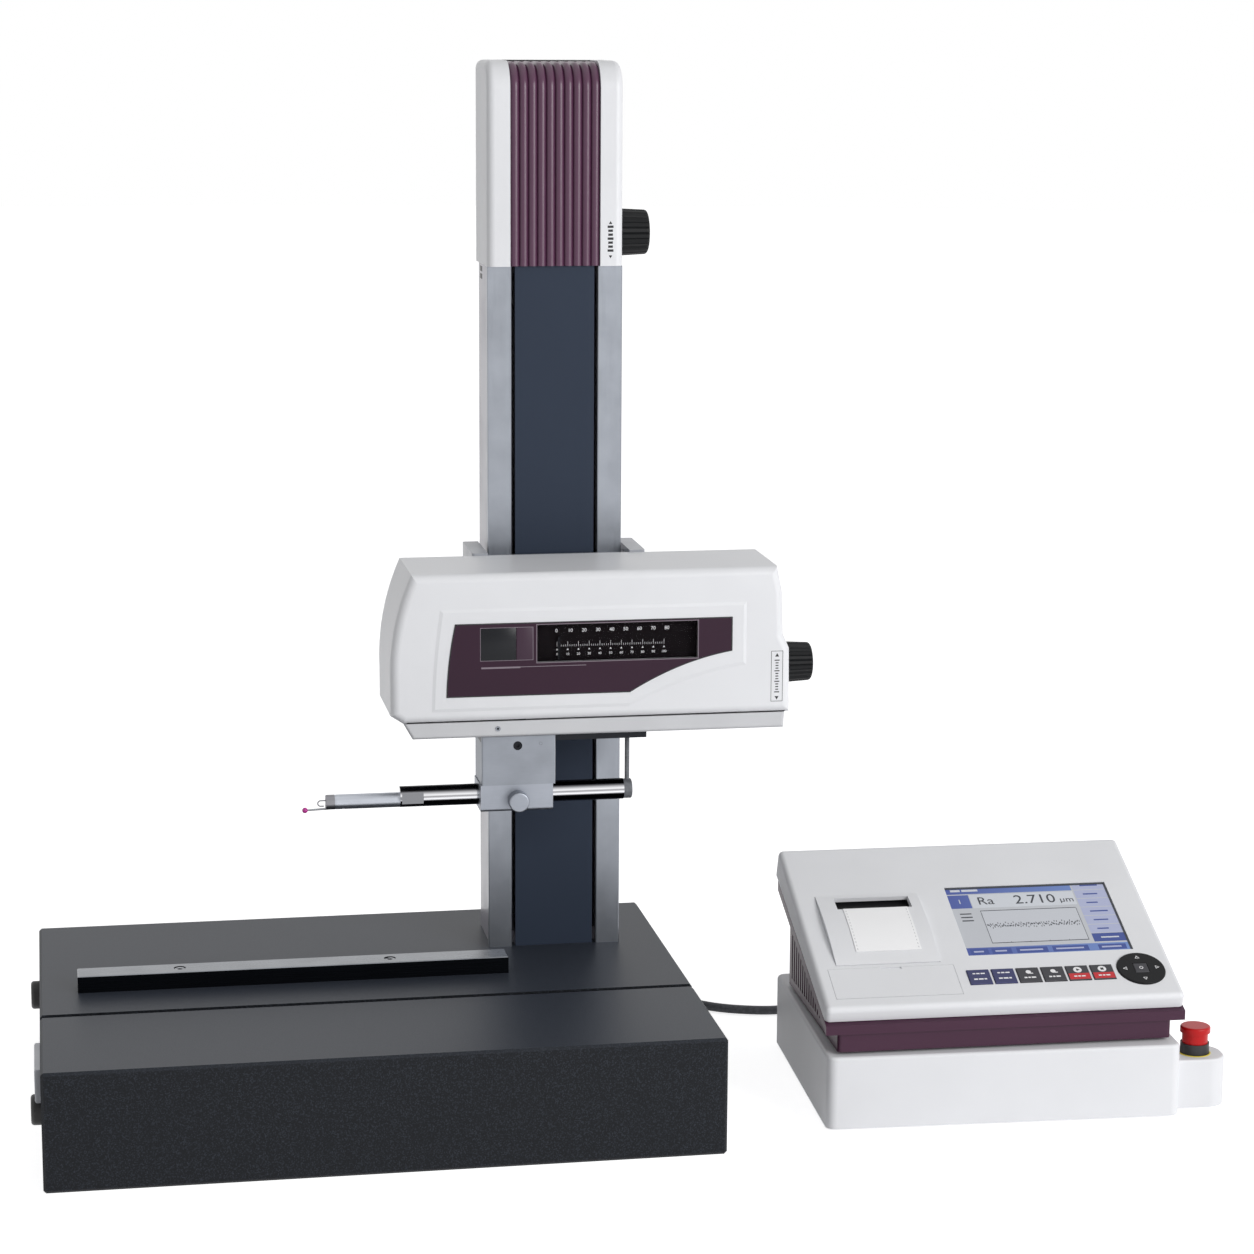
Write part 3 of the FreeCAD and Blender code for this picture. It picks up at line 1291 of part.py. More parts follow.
def access_flap():
    limits = (access_bay[0] + key_gap, access_bay[1] - key_gap, access_bay[2] + hinge_gap,
              access_bay[3] - key_gap)
    plate = deck_cut(limits, (-shell_wall + 0.3, 0.0))
    centre = (limits[0] + limits[1]) / 2
    pull = box((centre - 10, centre + 10), (limits[3] - 3, limits[3] + 1), (-1.2, 0.5))
    pins = hinge_pins(access_bay, access_bay[2] + hinge_inset)
    save("access_flap", on_bench(on_deck(joined([plate.cut(pull)] + pins))))


def build():
    stone()
    stone_fittings()
    fence()
    column()
    lift_drive()
    gear_bracket()
    head()
    flutes()
    carriage()
    lift_nut()
    drive_shell()
    drive_chassis()
    traverse_drive()
    slider()
    holder()
    probe_tube()
    detector()
    controller_box()
    rear_sockets()
    cable()
    estop()
    display_cover()
    display_tray()
    display_inside()
    keys()
    pad()
    printer()
    access_flap()


build()
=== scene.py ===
# %% [markdown]
# A bench surface roughness tester stands on a granite plate. A column carries a drive unit that
# draws a stylus over a workpiece, and a desk controller beside it shows and prints the result.
# The measured solids are loaded first and never moved, so everything modelled here is placed
# by them. What this lesson adds is finish: stone, paint, ground metal, moulded shells, markings.

# %% The fixed frame
import bmesh
import bpy
import json
import math
from mathutils import Matrix, Vector

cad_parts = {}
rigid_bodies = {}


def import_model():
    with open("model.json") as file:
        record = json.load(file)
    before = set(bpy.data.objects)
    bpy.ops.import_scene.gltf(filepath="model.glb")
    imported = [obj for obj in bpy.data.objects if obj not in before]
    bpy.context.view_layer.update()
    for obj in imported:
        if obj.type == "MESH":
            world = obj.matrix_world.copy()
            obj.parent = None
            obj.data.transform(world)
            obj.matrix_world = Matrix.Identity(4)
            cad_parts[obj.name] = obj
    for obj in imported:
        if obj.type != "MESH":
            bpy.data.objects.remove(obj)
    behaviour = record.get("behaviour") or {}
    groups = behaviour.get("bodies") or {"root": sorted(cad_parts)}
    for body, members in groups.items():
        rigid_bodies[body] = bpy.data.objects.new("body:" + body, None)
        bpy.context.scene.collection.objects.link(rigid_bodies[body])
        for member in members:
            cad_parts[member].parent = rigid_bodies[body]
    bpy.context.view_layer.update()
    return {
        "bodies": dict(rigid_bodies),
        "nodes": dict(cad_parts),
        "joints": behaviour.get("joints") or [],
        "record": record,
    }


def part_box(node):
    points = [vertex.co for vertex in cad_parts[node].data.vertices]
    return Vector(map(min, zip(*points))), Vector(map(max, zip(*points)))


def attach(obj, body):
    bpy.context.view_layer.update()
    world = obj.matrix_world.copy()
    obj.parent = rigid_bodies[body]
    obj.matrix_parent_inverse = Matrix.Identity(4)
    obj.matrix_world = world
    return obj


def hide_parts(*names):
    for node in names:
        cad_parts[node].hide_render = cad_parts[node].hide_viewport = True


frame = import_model()
scene = bpy.context.scene
nodes = frame["nodes"]
joints = {joint["name"]: joint for joint in frame["record"]["behaviour"]["joints"]}
MM = 0.001
print("pieces from the frame:", len(nodes))

# %% [markdown]
# The picture is taken from a little left of the column and a little above it, with a long lens.
# A camera could be aimed by hand, but a turn, a tilt and a small roll written as angles are easy
# to read and to correct, so the camera's matrix is built from them.

# %% The camera
camera_place = Vector((-0.2794, -2.8737, 0.9986))
camera_turn, camera_tilt, camera_roll = (math.radians(a) for a in (-10.388, -10.869, -0.337))
lens = bpy.data.cameras.new("camera")
lens.sensor_width = 36.0
lens.lens = 91.77
lens.clip_end = 30.0
camera = bpy.data.objects.new("camera", lens)
scene.collection.objects.link(camera)
camera.matrix_world = (Matrix.Translation(camera_place) @ Matrix.Rotation(camera_turn, 4, "Z")
                       @ Matrix.Rotation(camera_tilt, 4, "X") @ Matrix.Rotation(camera_roll, 4, "Y")
                       @ Matrix.Rotation(math.radians(90), 4, "X"))
scene.camera = camera
print("camera at", tuple(round(c, 2) for c in camera.matrix_world.translation), "lens", lens.lens)

# %% [markdown]
# The link cable is one soft grey lead. It leaves a gland behind the column, falls to the table and
# crosses it to the controller's back. A swept mesh would do, but a NURBS curve with a round bevel
# is what a lead is: one smooth line with a thickness. It follows the same points as the measured
# solid. Blender's box round a curve grows by the radius of its points, which is a whole metre
# unless it is set, so the lead's radius is on the points and the bevel depth is 1.

# %% The link cable
cable_radius = 4.5 * MM
cable_points = (
    (193.0, 182.0, 150.0), (193.0, 226.0, 150.0), (197.0, 267.0, 123.0), (209.0, 288.0, 78.0),
    (233.0, 292.0, 33.0), (277.0, 281.0, 4.9), (327.0, 244.0, 4.8), (364.0, 185.0, 4.8),
    (427.0, 161.0, 4.8), (462.0, 171.0, 4.8), (500.0, 176.0, 4.8), (541.0, 174.0, 6.0),
    (574.0, 162.0, 11.0), (596.0, 141.0, 19.0), (604.76, 112.77, 24.0), (603.4, 82.8, 24.0))


def lead(name, points, radius):
    curve = bpy.data.curves.new(name, "CURVE")
    curve.dimensions = "3D"
    spline = curve.splines.new("NURBS")
    spline.points.add(len(points) - 1)
    for point, place in zip(spline.points, points):
        point.co = (*(value * MM for value in place), 1.0)
        point.radius = radius
    spline.order_u = 3
    spline.use_endpoint_u = True
    spline.resolution_u = 10
    curve.bevel_depth = 1.0
    curve.bevel_resolution = 6
    curve.use_fill_caps = True
    made = bpy.data.objects.new(name, curve)
    scene.collection.objects.link(made)
    return made


cable = lead("cable", cable_points, cable_radius)
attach(cable, "root")
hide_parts("link_cable")
print("cable points:", len(cable_points))

# %% [markdown]
# Every finish is a small node graph. Colours are written as they look in a picture, from 0 to 255,
# and turned to linear light in one place. Patterns read Object coordinates: every piece sits at
# the origin, so one metre in the pattern is one metre on the instrument.

# %% Colour and node helpers


def tone(red, green, blue):
    return tuple((value / 255) ** 2.2 for value in (red, green, blue)) + (1.0,)


def blank(name, colour, rough, metal=0.0, coat=0.0, specular=0.5):
    """A material whose Principled shader holds every value that is the same all over."""
    material = bpy.data.materials.new(name)
    material.use_nodes = True
    shader = material.node_tree.nodes["Principled BSDF"]
    shader.inputs["Base Color"].default_value = colour
    shader.inputs["Roughness"].default_value = rough
    shader.inputs["Metallic"].default_value = metal
    shader.inputs["Coat Weight"].default_value = coat
    shader.inputs["Coat Roughness"].default_value = 0.12
    shader.inputs["Specular IOR Level"].default_value = specular
    return material


def node(material, kind, **values):
    made = material.node_tree.nodes.new("ShaderNode" + kind)
    for name, value in values.items():
        if name in made.inputs:
            made.inputs[name].default_value = value
        else:
            setattr(made, name, value)
    return made


def link(material, source, target):
    material.node_tree.links.new(source, target)


def socket(material, name):
    return material.node_tree.nodes["Principled BSDF"].inputs[name]


def feed(material, name, source):
    """Drives one input of the material's shader."""
    link(material, source, socket(material, name))


def placed(material, scale=(1.0, 1.0, 1.0)):
    """Object coordinates, stretched for brush marks and the like."""
    source = node(material, "TexCoord")
    mapping = node(material, "Mapping", Scale=scale)
    link(material, source.outputs["Object"], mapping.inputs["Vector"])
    return mapping.outputs["Vector"]


def noise(material, size, stretch=(1.0, 1.0, 1.0), detail=3.0):
    """Noise whose grains are about one size, in metres."""
    made = node(material, "TexNoise", Scale=1.0 / size, Detail=detail)
    link(material, placed(material, stretch), made.inputs["Vector"])
    return made.outputs["Fac"]


def ranged(material, value, low, high, start=0.3, end=0.7):
    made = node(material, "MapRange")
    link(material, value, made.inputs["Value"])
    for index, number in ((1, start), (2, end), (3, low), (4, high)):
        made.inputs[index].default_value = number
    return made.outputs["Result"]


def mixed(material, factor, first, second):
    """Two colours, or the outputs of two nodes, blended by a factor."""
    made = node(material, "Mix", data_type="RGBA")
    link(material, factor, made.inputs["Factor"])
    for slot_index, colour in ((6, first), (7, second)):
        if isinstance(colour, tuple):
            made.inputs[slot_index].default_value = colour
        else:
            link(material, colour, made.inputs[slot_index])
    return made.outputs[2]


def bumped(material, height, strength, distance):
    made = node(material, "Bump", Strength=strength, Distance=distance)
    link(material, height, made.inputs["Height"])
    feed(material, "Normal", made.outputs["Normal"])


def shaded(colour, factor):
    return tuple(value * factor for value in colour[:3]) + (1.0,)


print("white reads as", tuple(round(c, 3) for c in tone(232, 233, 236)))

# %% [markdown]
# Moulded shells are nearly plain: the eye reads them by a very fine spark-eroded grain, a slow
# drift of colour over the surface and a roughness that isn't quite even. Pictures of grain would
# have to be laid out flat on every shell, while noise in Object coordinates fits any shape. So one
# function makes the grain from noise, and each shell sets its own colour, gloss and depth.

# %% Moulded plastic, rubber and paint


def moulded(name, colour, rough, grain=0.0006, depth=0.08, drift=0.04, specular=0.5):
    material = blank(name, colour, rough, specular=specular)
    slow = ranged(material, noise(material, 0.09), 0.0, 1.0)
    feed(material, "Base Color", mixed(material, slow, shaded(colour, 1 - drift), colour))
    fine = noise(material, grain, detail=2.0)
    feed(material, "Roughness", ranged(material, fine, rough - 0.04, rough + 0.05))
    bumped(material, fine, depth, grain * 0.25)
    return material


def rubbery(name, colour, rough=0.62):
    """Dull rubber with a little pale dust in its grain."""
    material = blank(name, colour, rough, specular=0.2)
    dust = ranged(material, noise(material, 0.004, detail=4.0), 0.0, 1.0, 0.35, 0.8)
    feed(material, "Base Color", mixed(material, dust, colour, shaded(colour, 1.6)))
    fine = noise(material, 0.0004, detail=1.0)
    feed(material, "Roughness", ranged(material, fine, rough - 0.06, rough + 0.08))
    bumped(material, fine, 0.15, 0.0001)
    return material


def painted(name, colour, rough, peel=0.0018):
    """Sprayed paint on metal, with a faint orange peel."""
    material = blank(name, colour, rough, coat=0.15)
    wave = noise(material, peel, detail=1.0)
    slow = ranged(material, noise(material, 0.05), 0.0, 1.0)
    feed(material, "Base Color", mixed(material, slow, shaded(colour, 0.95), colour))
    feed(material, "Roughness", ranged(material, slow, rough - 0.03, rough + 0.04))
    bumped(material, wave, 0.05, 0.0003)
    return material


shell_white = moulded("shell_white", tone(233, 234, 237), 0.38)
control_white = moulded("control_white", tone(233, 234, 237), 0.45, specular=0.3)
maroon = moulded("maroon", tone(66, 35, 56), 0.36, drift=0.08, specular=0.3)
# The flutes' maroon is the tray's maroon made lighter: painted sheen for the highlights on the
# ribs.
flute_maroon_painted_sheen = moulded("flute_maroon_painted_sheen", tone(86, 52, 76), 0.30, drift=0.08)
black_plastic = moulded("black_plastic", tone(30, 30, 32), 0.45, drift=0.10)
estop_red = moulded("estop_red", tone(186, 20, 22), 0.34, grain=0.001, depth=0.03, specular=0.3)
key_navy = moulded("key_navy", tone(44, 48, 92), 0.42, drift=0.06)
key_dark = moulded("key_dark", tone(44, 44, 50), 0.42, drift=0.06)
key_red = moulded("key_red", tone(196, 36, 44), 0.42, drift=0.06)
board_green = moulded("board_green", tone(28, 84, 56), 0.50, drift=0.15)
white_ink = moulded("white_ink", tone(238, 238, 240), 0.55, drift=0.02)
black_ink = moulded("black_ink", tone(26, 26, 30), 0.55, drift=0.05)
yellow_ring = moulded("yellow_ring", tone(226, 204, 60), 0.45, drift=0.08)
knob_rubber = rubbery("knob_rubber", tone(16, 17, 19), 0.5)
foot_rubber = rubbery("foot_rubber", tone(22, 22, 24))
cable_sheath = rubbery("cable_sheath", tone(102, 104, 108), 0.5)
column_paint = painted("column_paint", tone(168, 166, 176), 0.34)
machine_paint = painted("machine_paint", tone(158, 161, 168), 0.36)
slate_paint = moulded("slate_paint", tone(50, 58, 72), 0.50, grain=0.0015, specular=0.15)
# The skirt's grey is the shell's white made darker: painted shade, for the shade it lies in below
# the cover.
skirt_white_painted_shade = painted("skirt_white_painted_shade", tone(204, 205, 208), 0.36)
cable.data.materials.append(cable_sheath)
print("moulded, rubber and painted finishes:", len(bpy.data.materials))

# %% [markdown]
# Ground and turned metal is seen by its reflections, and they are pulled out along the tool marks.
# The shader's anisotropy could pull them, but then the marks themselves wouldn't show close up. So
# the marks are noise that is squeezed across the stroke, driving both the roughness and a small
# bump. The stretch says which way a face was ground.

# %% Metals


def worked(name, colour, rough, stretch, depth=0.10, spread=0.10):
    """Metal with tool marks: the stretch is small along the stroke and 1 across it."""
    material = blank(name, colour, rough, metal=1.0)
    marks = noise(material, 0.0007, stretch, detail=3.0)
    slow = ranged(material, noise(material, 0.03), 0.0, 1.0)
    feed(material, "Base Color", mixed(material, slow, shaded(colour, 0.86), colour))
    feed(material, "Roughness", ranged(material, marks, rough, rough + spread))
    bumped(material, marks, depth, 0.00006)
    return material


milled_along_x = (0.05, 1.0, 1.0)
turned_about_x = (1.0, 0.1, 0.1)
ground_rail = worked("ground_rail", tone(142, 146, 153), 0.28, (1.0, 1.0, 0.02))
turned_steel = worked("turned_steel", tone(176, 178, 182), 0.26, (1.0, 0.2, 0.2))
clamp_grey = worked("clamp_grey", tone(147, 151, 159), 0.40, milled_along_x, 0.06)
machined_grey = worked("machined_grey", tone(135, 139, 146), 0.42, milled_along_x, 0.06)
black_metal = worked("black_metal", tone(44, 45, 48), 0.40, milled_along_x, 0.05)
gear_brass = worked("gear_brass", tone(190, 152, 84), 0.30, (1.0, 1.0, 0.1))
cast_grey = painted("cast_grey", tone(96, 99, 104), 0.55, peel=0.003)
motor_metal = worked("motor_metal", tone(150, 152, 156), 0.36, milled_along_x)
print("finishes with the metals:", len(bpy.data.materials))

# %% [markdown]
# Black granite is many small crystals. On the sawn sides they show as light specks on a nearly
# black ground. The lapped top is smoother; it looks bluer and lighter because it mirrors the room,
# and that reflection is painted into its colour as a lighter, bluer grey. Two materials on two
# groups of faces would do, but the measured mesh isn't regrouped, so one material tells the two
# apart by which way the face points.

# %% Granite


def facing(material, axis, start, end):
    """How far a face points along one axis, as a mask from 0 to 1."""
    direction = node(material, "NewGeometry")
    parts = node(material, "SeparateXYZ")
    link(material, direction.outputs["Normal"], parts.inputs["Vector"])
    return ranged(material, parts.outputs[axis], 0.0, 1.0, start, end)


def granite_stone():
    dark, light = tone(15, 18, 23), tone(68, 73, 82)
    # The top's greys are lighter and bluer than the sides': a painted reflection of the room.
    lapped_painted_sheen, lapped_painted_sheen_fleck = tone(44, 48, 55), tone(60, 64, 72)
    material = blank("granite", dark, 0.45, specular=0.22)
    top = facing(material, "Z", 0.6, 0.9)
    crystals = node(material, "TexVoronoi", Scale=900.0)
    link(material, placed(material), crystals.inputs["Vector"])
    grain = noise(material, 0.0011, detail=5.0)
    specks = ranged(material, grain, 0.0, 0.55, 0.50, 0.72)
    side = mixed(material, specks, dark, light)
    surface = mixed(material, ranged(material, grain, 0.0, 1.0), lapped_painted_sheen, lapped_painted_sheen_fleck)
    feed(material, "Base Color", mixed(material, top, side, surface))
    feed(material, "Roughness", ranged(material, top, 0.60, 0.42, 0.0, 1.0))
    bumped(material, crystals.outputs["Distance"], 0.10, 0.0002)
    return material


granite = granite_stone()
print("granite nodes:", len(granite.node_tree.nodes))

# %% [markdown]
# Some pieces carry two finishes. The fence bar has a bright ground top, and every face of it that
# doesn't look up is near black. The detector's chrome tube has painted reflections: long light and
# dark bands, chosen by which way each face points, and a plain mid grey on the milled flat at its
# end. The detector's body has a darker nose, and the stylus ends in a ruby ball on a steel arm. The
# meshes could be cut in two, but a mask by direction or by place, in the material, leaves them
# whole.

# %% Two finishes on one piece


def fence_steel():
    material = worked("fence_steel", tone(134, 137, 142), 0.22, (0.02, 1.0, 1.0))
    # Faces that look up keep the ground steel; every other face of the bar is near black.
    top = facing(material, "Z", 0.3, 0.6)
    bright = socket(material, "Base Color").links[0].from_socket
    feed(material, "Base Color", mixed(material, top, tone(34, 36, 40), bright))
    return material


def beyond(material, axis, limit, width=0.0002):
    """1 where the surface lies past a limit along one axis, 0 before it."""
    parts = node(material, "SeparateXYZ")
    link(material, placed(material), parts.inputs["Vector"])
    return ranged(material, parts.outputs[axis], 0.0, 1.0, limit - width, limit + width)


def chrome_painted_reflection():
    """Chrome with painted reflection: bands that a round bar mirrors, mid grey on the flat end."""
    material = worked("chrome_painted_reflection", tone(190, 190, 193), 0.10, turned_about_x, 0.03, 0.05)
    # The ramp's light and dark greys, picked by which way a face points, are painted reflection;
    # the flat's plain grey is painted reflection too.
    bands = node(material, "ValToRGB")
    stops = bands.color_ramp.elements
    stops[0].position, stops[0].color = 0.10, tone(110, 110, 114)
    stops[1].position, stops[1].color = 1.0, tone(40, 40, 44)
    for place, level in ((0.16, 36), (0.32, 44), (0.38, 70), (0.455, 228), (0.55, 135), (0.64, 245),
                         (0.73, 180), (0.81, 72), (0.89, 40)):
        stops.new(place).color = tone(level, level, level + 3)
    link(material, facing(material, "Z", -1.0, 1.0), bands.inputs["Fac"])
    flat_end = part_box("detector_tube")[0].x + 21.6 * MM
    flat = node(material, "Math", operation="SUBTRACT", use_clamp=True)
    link(material, facing(material, "Y", -0.985, -0.998), flat.inputs[0])
    link(material, beyond(material, "X", flat_end), flat.inputs[1])
    steel = mixed(material, flat.outputs[0], bands.outputs["Color"], tone(118, 119, 122))
    feed(material, "Base Color", steel)
    return material


def banded_nose():
    """The detector's bright body with a darker band of steel round its nose."""
    material = worked("silver_body", tone(182, 186, 194), 0.30, turned_about_x, 0.05)
    behind_nose = beyond(material, "X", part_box("detector_body")[0].x + 16.0 * MM)
    bright = socket(material, "Base Color").links[0].from_socket
    feed(material, "Base Color", mixed(material, behind_nose, tone(132, 132, 136), bright))
    return material


def ruby_tipped():
    """A steel arm that ends in a ruby ball."""
    material = blank("ruby_tipped", tone(180, 182, 186), 0.16, metal=1.0)
    arm = beyond(material, "X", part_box("stylus_arm")[0].x + 5.2 * MM)
    feed(material, "Base Color", mixed(material, arm, tone(190, 42, 148), tone(150, 152, 156)))
    feed(material, "Metallic", arm)
    fine = noise(material, 0.0005, detail=1.0)
    feed(material, "Roughness", ranged(material, fine, 0.12, 0.22))
    return material


fence_finish = fence_steel()
nose_finish = banded_nose()
chrome_tube_painted_reflection = chrome_painted_reflection()
stylus_finish = ruby_tipped()
for finish in (fence_finish, nose_finish, chrome_tube_painted_reflection, stylus_finish):
    print("two finishes in", finish.name, "by", len(finish.node_tree.nodes), "nodes")

# %% [markdown]
# Glass, the panel's lacquer, paper and the lit display are the last finishes. Glass that bends
# light would darken the scale behind it, so the thin window is made nearly clear by its alpha. The
# display gives off a little light of its own, as a backlit screen does; its picture is made of
# pieces later.

# %% Glass, lacquer, paper and light


def clear_glass():
    """A smoked window that lets light through by its alpha, so what lies behind it is lit."""
    material = blank("clear_glass", tone(20, 18, 22), 0.04, specular=0.04)
    socket(material, "Alpha").default_value = 0.15
    smear = noise(material, 0.01, detail=2.0)
    feed(material, "Roughness", ranged(material, smear, 0.02, 0.07))
    return material


def lit(name, colour, glow=0.08):
    """A patch of the display: coloured, with a weak light of its own and a fine pixel grain."""
    material = blank(name, colour, 0.32)
    socket(material, "Emission Strength").default_value = glow
    pixels = noise(material, 0.0004, detail=0.0)
    picture = mixed(material, ranged(material, pixels, 0.0, 1.0), shaded(colour, 0.94), colour)
    feed(material, "Base Color", picture)
    feed(material, "Emission Color", picture)
    return material


def lit_fade(name, first, second, start, end):
    """A lit patch whose colour runs from one to another along X."""
    material = lit(name, first)
    along = beyond(material, "X", (start + end) / 2, (end - start) / 2)
    picture = mixed(material, along, first, second)
    feed(material, "Base Color", picture)
    feed(material, "Emission Color", picture)
    return material


lacquer = moulded("lacquer", tone(50, 26, 44), 0.34, drift=0.10, depth=0.02, specular=0.22)
paper = moulded("paper", tone(254, 254, 255), 0.75, grain=0.0009, depth=0.12, drift=0.02)
window_black = moulded("window_black", tone(34, 30, 32), 0.6, depth=0.01, specular=0.05)
status_dark = moulded("status_dark", tone(20, 22, 28), 0.25, drift=0.20, depth=0.01, specular=0.25)
status_grey = moulded("status_grey", tone(64, 46, 60), 0.40, drift=0.06, specular=0.25)
# The next grey is painted shadow, for the dashes along the edges of the printed strip.
painted_edge_shadow_grey = moulded("painted_edge_shadow_grey", tone(176, 178, 182), 0.60, drift=0.06)
frame_line = moulded("frame_line", tone(128, 116, 126), 0.40, drift=0.05)
window_glass = clear_glass()
lcd_low, lcd_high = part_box("lcd_module")
screen_blue = lit_fade("screen_blue", tone(62, 78, 150), tone(110, 138, 196), lcd_low.x, lcd_high.x)
screen_deep = lit("screen_deep", tone(52, 72, 142))
screen_lilac = lit("screen_lilac", tone(172, 178, 208))
screen_grey = lit("screen_grey", tone(190, 193, 199))
screen_pale = lit("screen_pale", tone(206, 210, 217))
screen_dark = lit("screen_dark", tone(44, 48, 58), 0.02)
screen_plot = lit("screen_plot", tone(196, 199, 206))
# Printed figures give off no light; their glow here is painted light against the shade behind the
# glass.
figure_white_painted_glow = lit("figure_white_painted_glow", tone(240, 240, 244), 0.60)
print("materials so far:", len(bpy.data.materials))

# %% [markdown]
# The measured nodes that show get their finish by name. Each could be dressed where its finish is
# made, but one table is easier to read and to correct. Nothing about their meshes changes; only
# the material in their slot does.

# %% Finishes on the measured pieces
finishes = {
    granite: ("granite_base",),
    fence_finish: ("fence_bar",),
    black_plastic: ("side_plugs", "estop_collar", "rear_sockets", "printer_frame"),
    window_black: ("scale_plate",),
    machine_paint: ("side_plate", "carriage_saddle"),
    skirt_white_painted_shade: ("drive_chassis",),
    column_paint: ("column_frame",),
    ground_rail: ("column_rails", "traverse_rail"),
    slate_paint: ("column_strip",),
    turned_steel: ("lead_screw", "pinion_shaft", "tilt_shaft", "traverse_screw"),
    gear_brass: ("screw_gear", "lift_nut"),
    cast_grey: ("gear_bracket",),
    shell_white: ("head_shell", "drive_cover"),
    maroon: ("unit_tray",),
    flute_maroon_painted_sheen: ("head_flutes",),
    knob_rubber: ("column_knob", "drive_knob", "nav_pad"),
    lacquer: ("drive_panel",),
    window_glass: ("drive_windows",),
    motor_metal: ("traverse_motor", "power_supply"),
    black_metal: ("traverse_slider",),
    machined_grey: ("holder_block",),
    clamp_grey: ("clamp_block", "clamp_knob"),
    foot_rubber: ("rubber_feet", "platen_roller"),
    cable_sheath: ("detector_lead",),
    chrome_tube_painted_reflection: ("detector_tube",),
    nose_finish: ("detector_body",),
    stylus_finish: ("stylus_arm",),
    control_white: ("control_box", "estop_box", "unit_cover", "printer_lid", "access_flap"),
    screen_grey: ("lcd_module",),
    board_green: ("main_board",),
    key_navy: ("key_1", "key_2"),
    key_dark: ("key_3", "key_4", "key_5", "key_6", "nav_button"),
    paper: ("paper_strip", "paper_roll"),
    estop_red: ("estop_cap",),
}
for material, names in finishes.items():
    for name in names:
        slots = nodes[name].material_slots
        if slots:
            slots[0].material = material
        else:
            nodes[name].data.materials.append(material)
dressed = sum(len(names) for names in finishes.values())
print("measured pieces dressed:", dressed, "of", len(nodes))

# %% [markdown]
# Markings and small fittings share a few helpers. Each mark could be an object of its own, but
# there would be hundreds. So a bmesh gathers blocks, letters and round shapes, each given a place
# by a matrix, and one call turns it into a piece that rides on a body.

# %% Helpers for small pieces
FRONT = Matrix.Rotation(math.radians(90), 4, "X")


def mm(*values):
    """Millimetres as metres."""
    return tuple(value * MM for value in values)


def moved(x=0.0, y=0.0, z=0.0):
    return Matrix.Translation(Vector((x, y, z)))


def sized(x, y, z):
    return Matrix.Diagonal((x, y, z, 1.0))


def settle(bm, verts, where, index):
    """Moves new vertices to their place and gives their faces one of the piece's finishes."""
    bmesh.ops.transform(bm, matrix=where, verts=verts)
    for face in {face for vert in verts for face in vert.link_faces}:
        face.material_index = index


def block(bm, x, y, z, where=Matrix(), index=0, bevel=0.0):
    """A block between two values along each axis of a local frame."""
    middle = [(a + b) / 2 for a, b in (x, y, z)]
    size = [b - a for a, b in (x, y, z)]
    made = bmesh.ops.create_cube(bm, size=1.0, matrix=moved(*middle) @ sized(*size))
    verts = made["verts"]
    if bevel:
        edges = {edge for vert in verts for edge in vert.link_edges}
        cut = bmesh.ops.bevel(bm, geom=list(edges), offset=bevel, affect="EDGES", segments=2,
                              profile=0.5, material=-1)
        verts = list({vert for vert in verts if vert.is_valid} | set(cut["verts"]))
    settle(bm, verts, where, index)


def piece(name, bm, materials, body):
    """Ends a bmesh: outward faces, smooth shading up to an angle, a body to ride on."""
    bmesh.ops.remove_doubles(bm, verts=bm.verts, dist=1e-7)
    bmesh.ops.recalc_face_normals(bm, faces=bm.faces)
    mesh = bpy.data.meshes.new(name)
    bm.to_mesh(mesh)
    bm.free()
    for material in materials:
        mesh.materials.append(material)
    mesh.shade_smooth()
    mesh.set_sharp_from_angle(angle=math.radians(30))
    made = bpy.data.objects.new(name, mesh)
    scene.collection.objects.link(made)
    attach(made, body)
    print(name, "faces", len(mesh.polygons))


print("a mark on a front face looks along", tuple(round(value) for value in FRONT.col[2]))

# %% [markdown]
# The fence bar is held by two socket screws sunk in its top. A socket screw is a short round head
# with a chamfered rim and a six-sided hole. A boolean could cut the hole, but it leaves stray
# faces on such small shapes. So the hole starts as a round inset ring whose corners are pulled
# onto a hexagon, then it is pushed down.

# %% Socket screws


def socket_screw(bm, radius, low, high, where, hole=0.55):
    """A screw head between two heights. The hole's size is a share of the head's."""
    before = set(bm.verts)
    rim = bmesh.ops.create_circle(bm, cap_ends=True, segments=24, radius=radius)["verts"]
    base = list({face for vert in rim for face in vert.link_faces})
    raised = bmesh.ops.extrude_face_region(bm, geom=base)
    top = [item for item in raised["geom"] if isinstance(item, bmesh.types.BMVert)]
    lid = [item for item in raised["geom"] if isinstance(item, bmesh.types.BMFace)]
    bmesh.ops.translate(bm, verts=top, vec=(0, 0, high - low))
    bmesh.ops.inset_region(bm, faces=lid, thickness=radius * 0.12, depth=0.0)
    bmesh.ops.translate(bm, verts=top, vec=(0, 0, -radius * 0.10))
    bmesh.ops.inset_region(bm, faces=lid, thickness=radius * (0.88 - hole), depth=0.0)
    for vert in lid[0].verts:
        angle = math.atan2(vert.co.y, vert.co.x) % math.radians(60) - math.radians(30)
        reach = radius * hole * math.cos(math.radians(30)) / math.cos(angle)
        vert.co.x, vert.co.y = Vector((vert.co.x, vert.co.y)).normalized() * reach
    sunk = bmesh.ops.extrude_discrete_faces(bm, faces=lid)["faces"][0]
    bmesh.ops.translate(bm, verts=sunk.verts, vec=(0, 0, -(high - low) * 0.6))
    made = [vert for vert in bm.verts if vert not in before]
    bmesh.ops.translate(bm, verts=made, vec=(0, 0, low))
    settle(bm, made, where, 0)


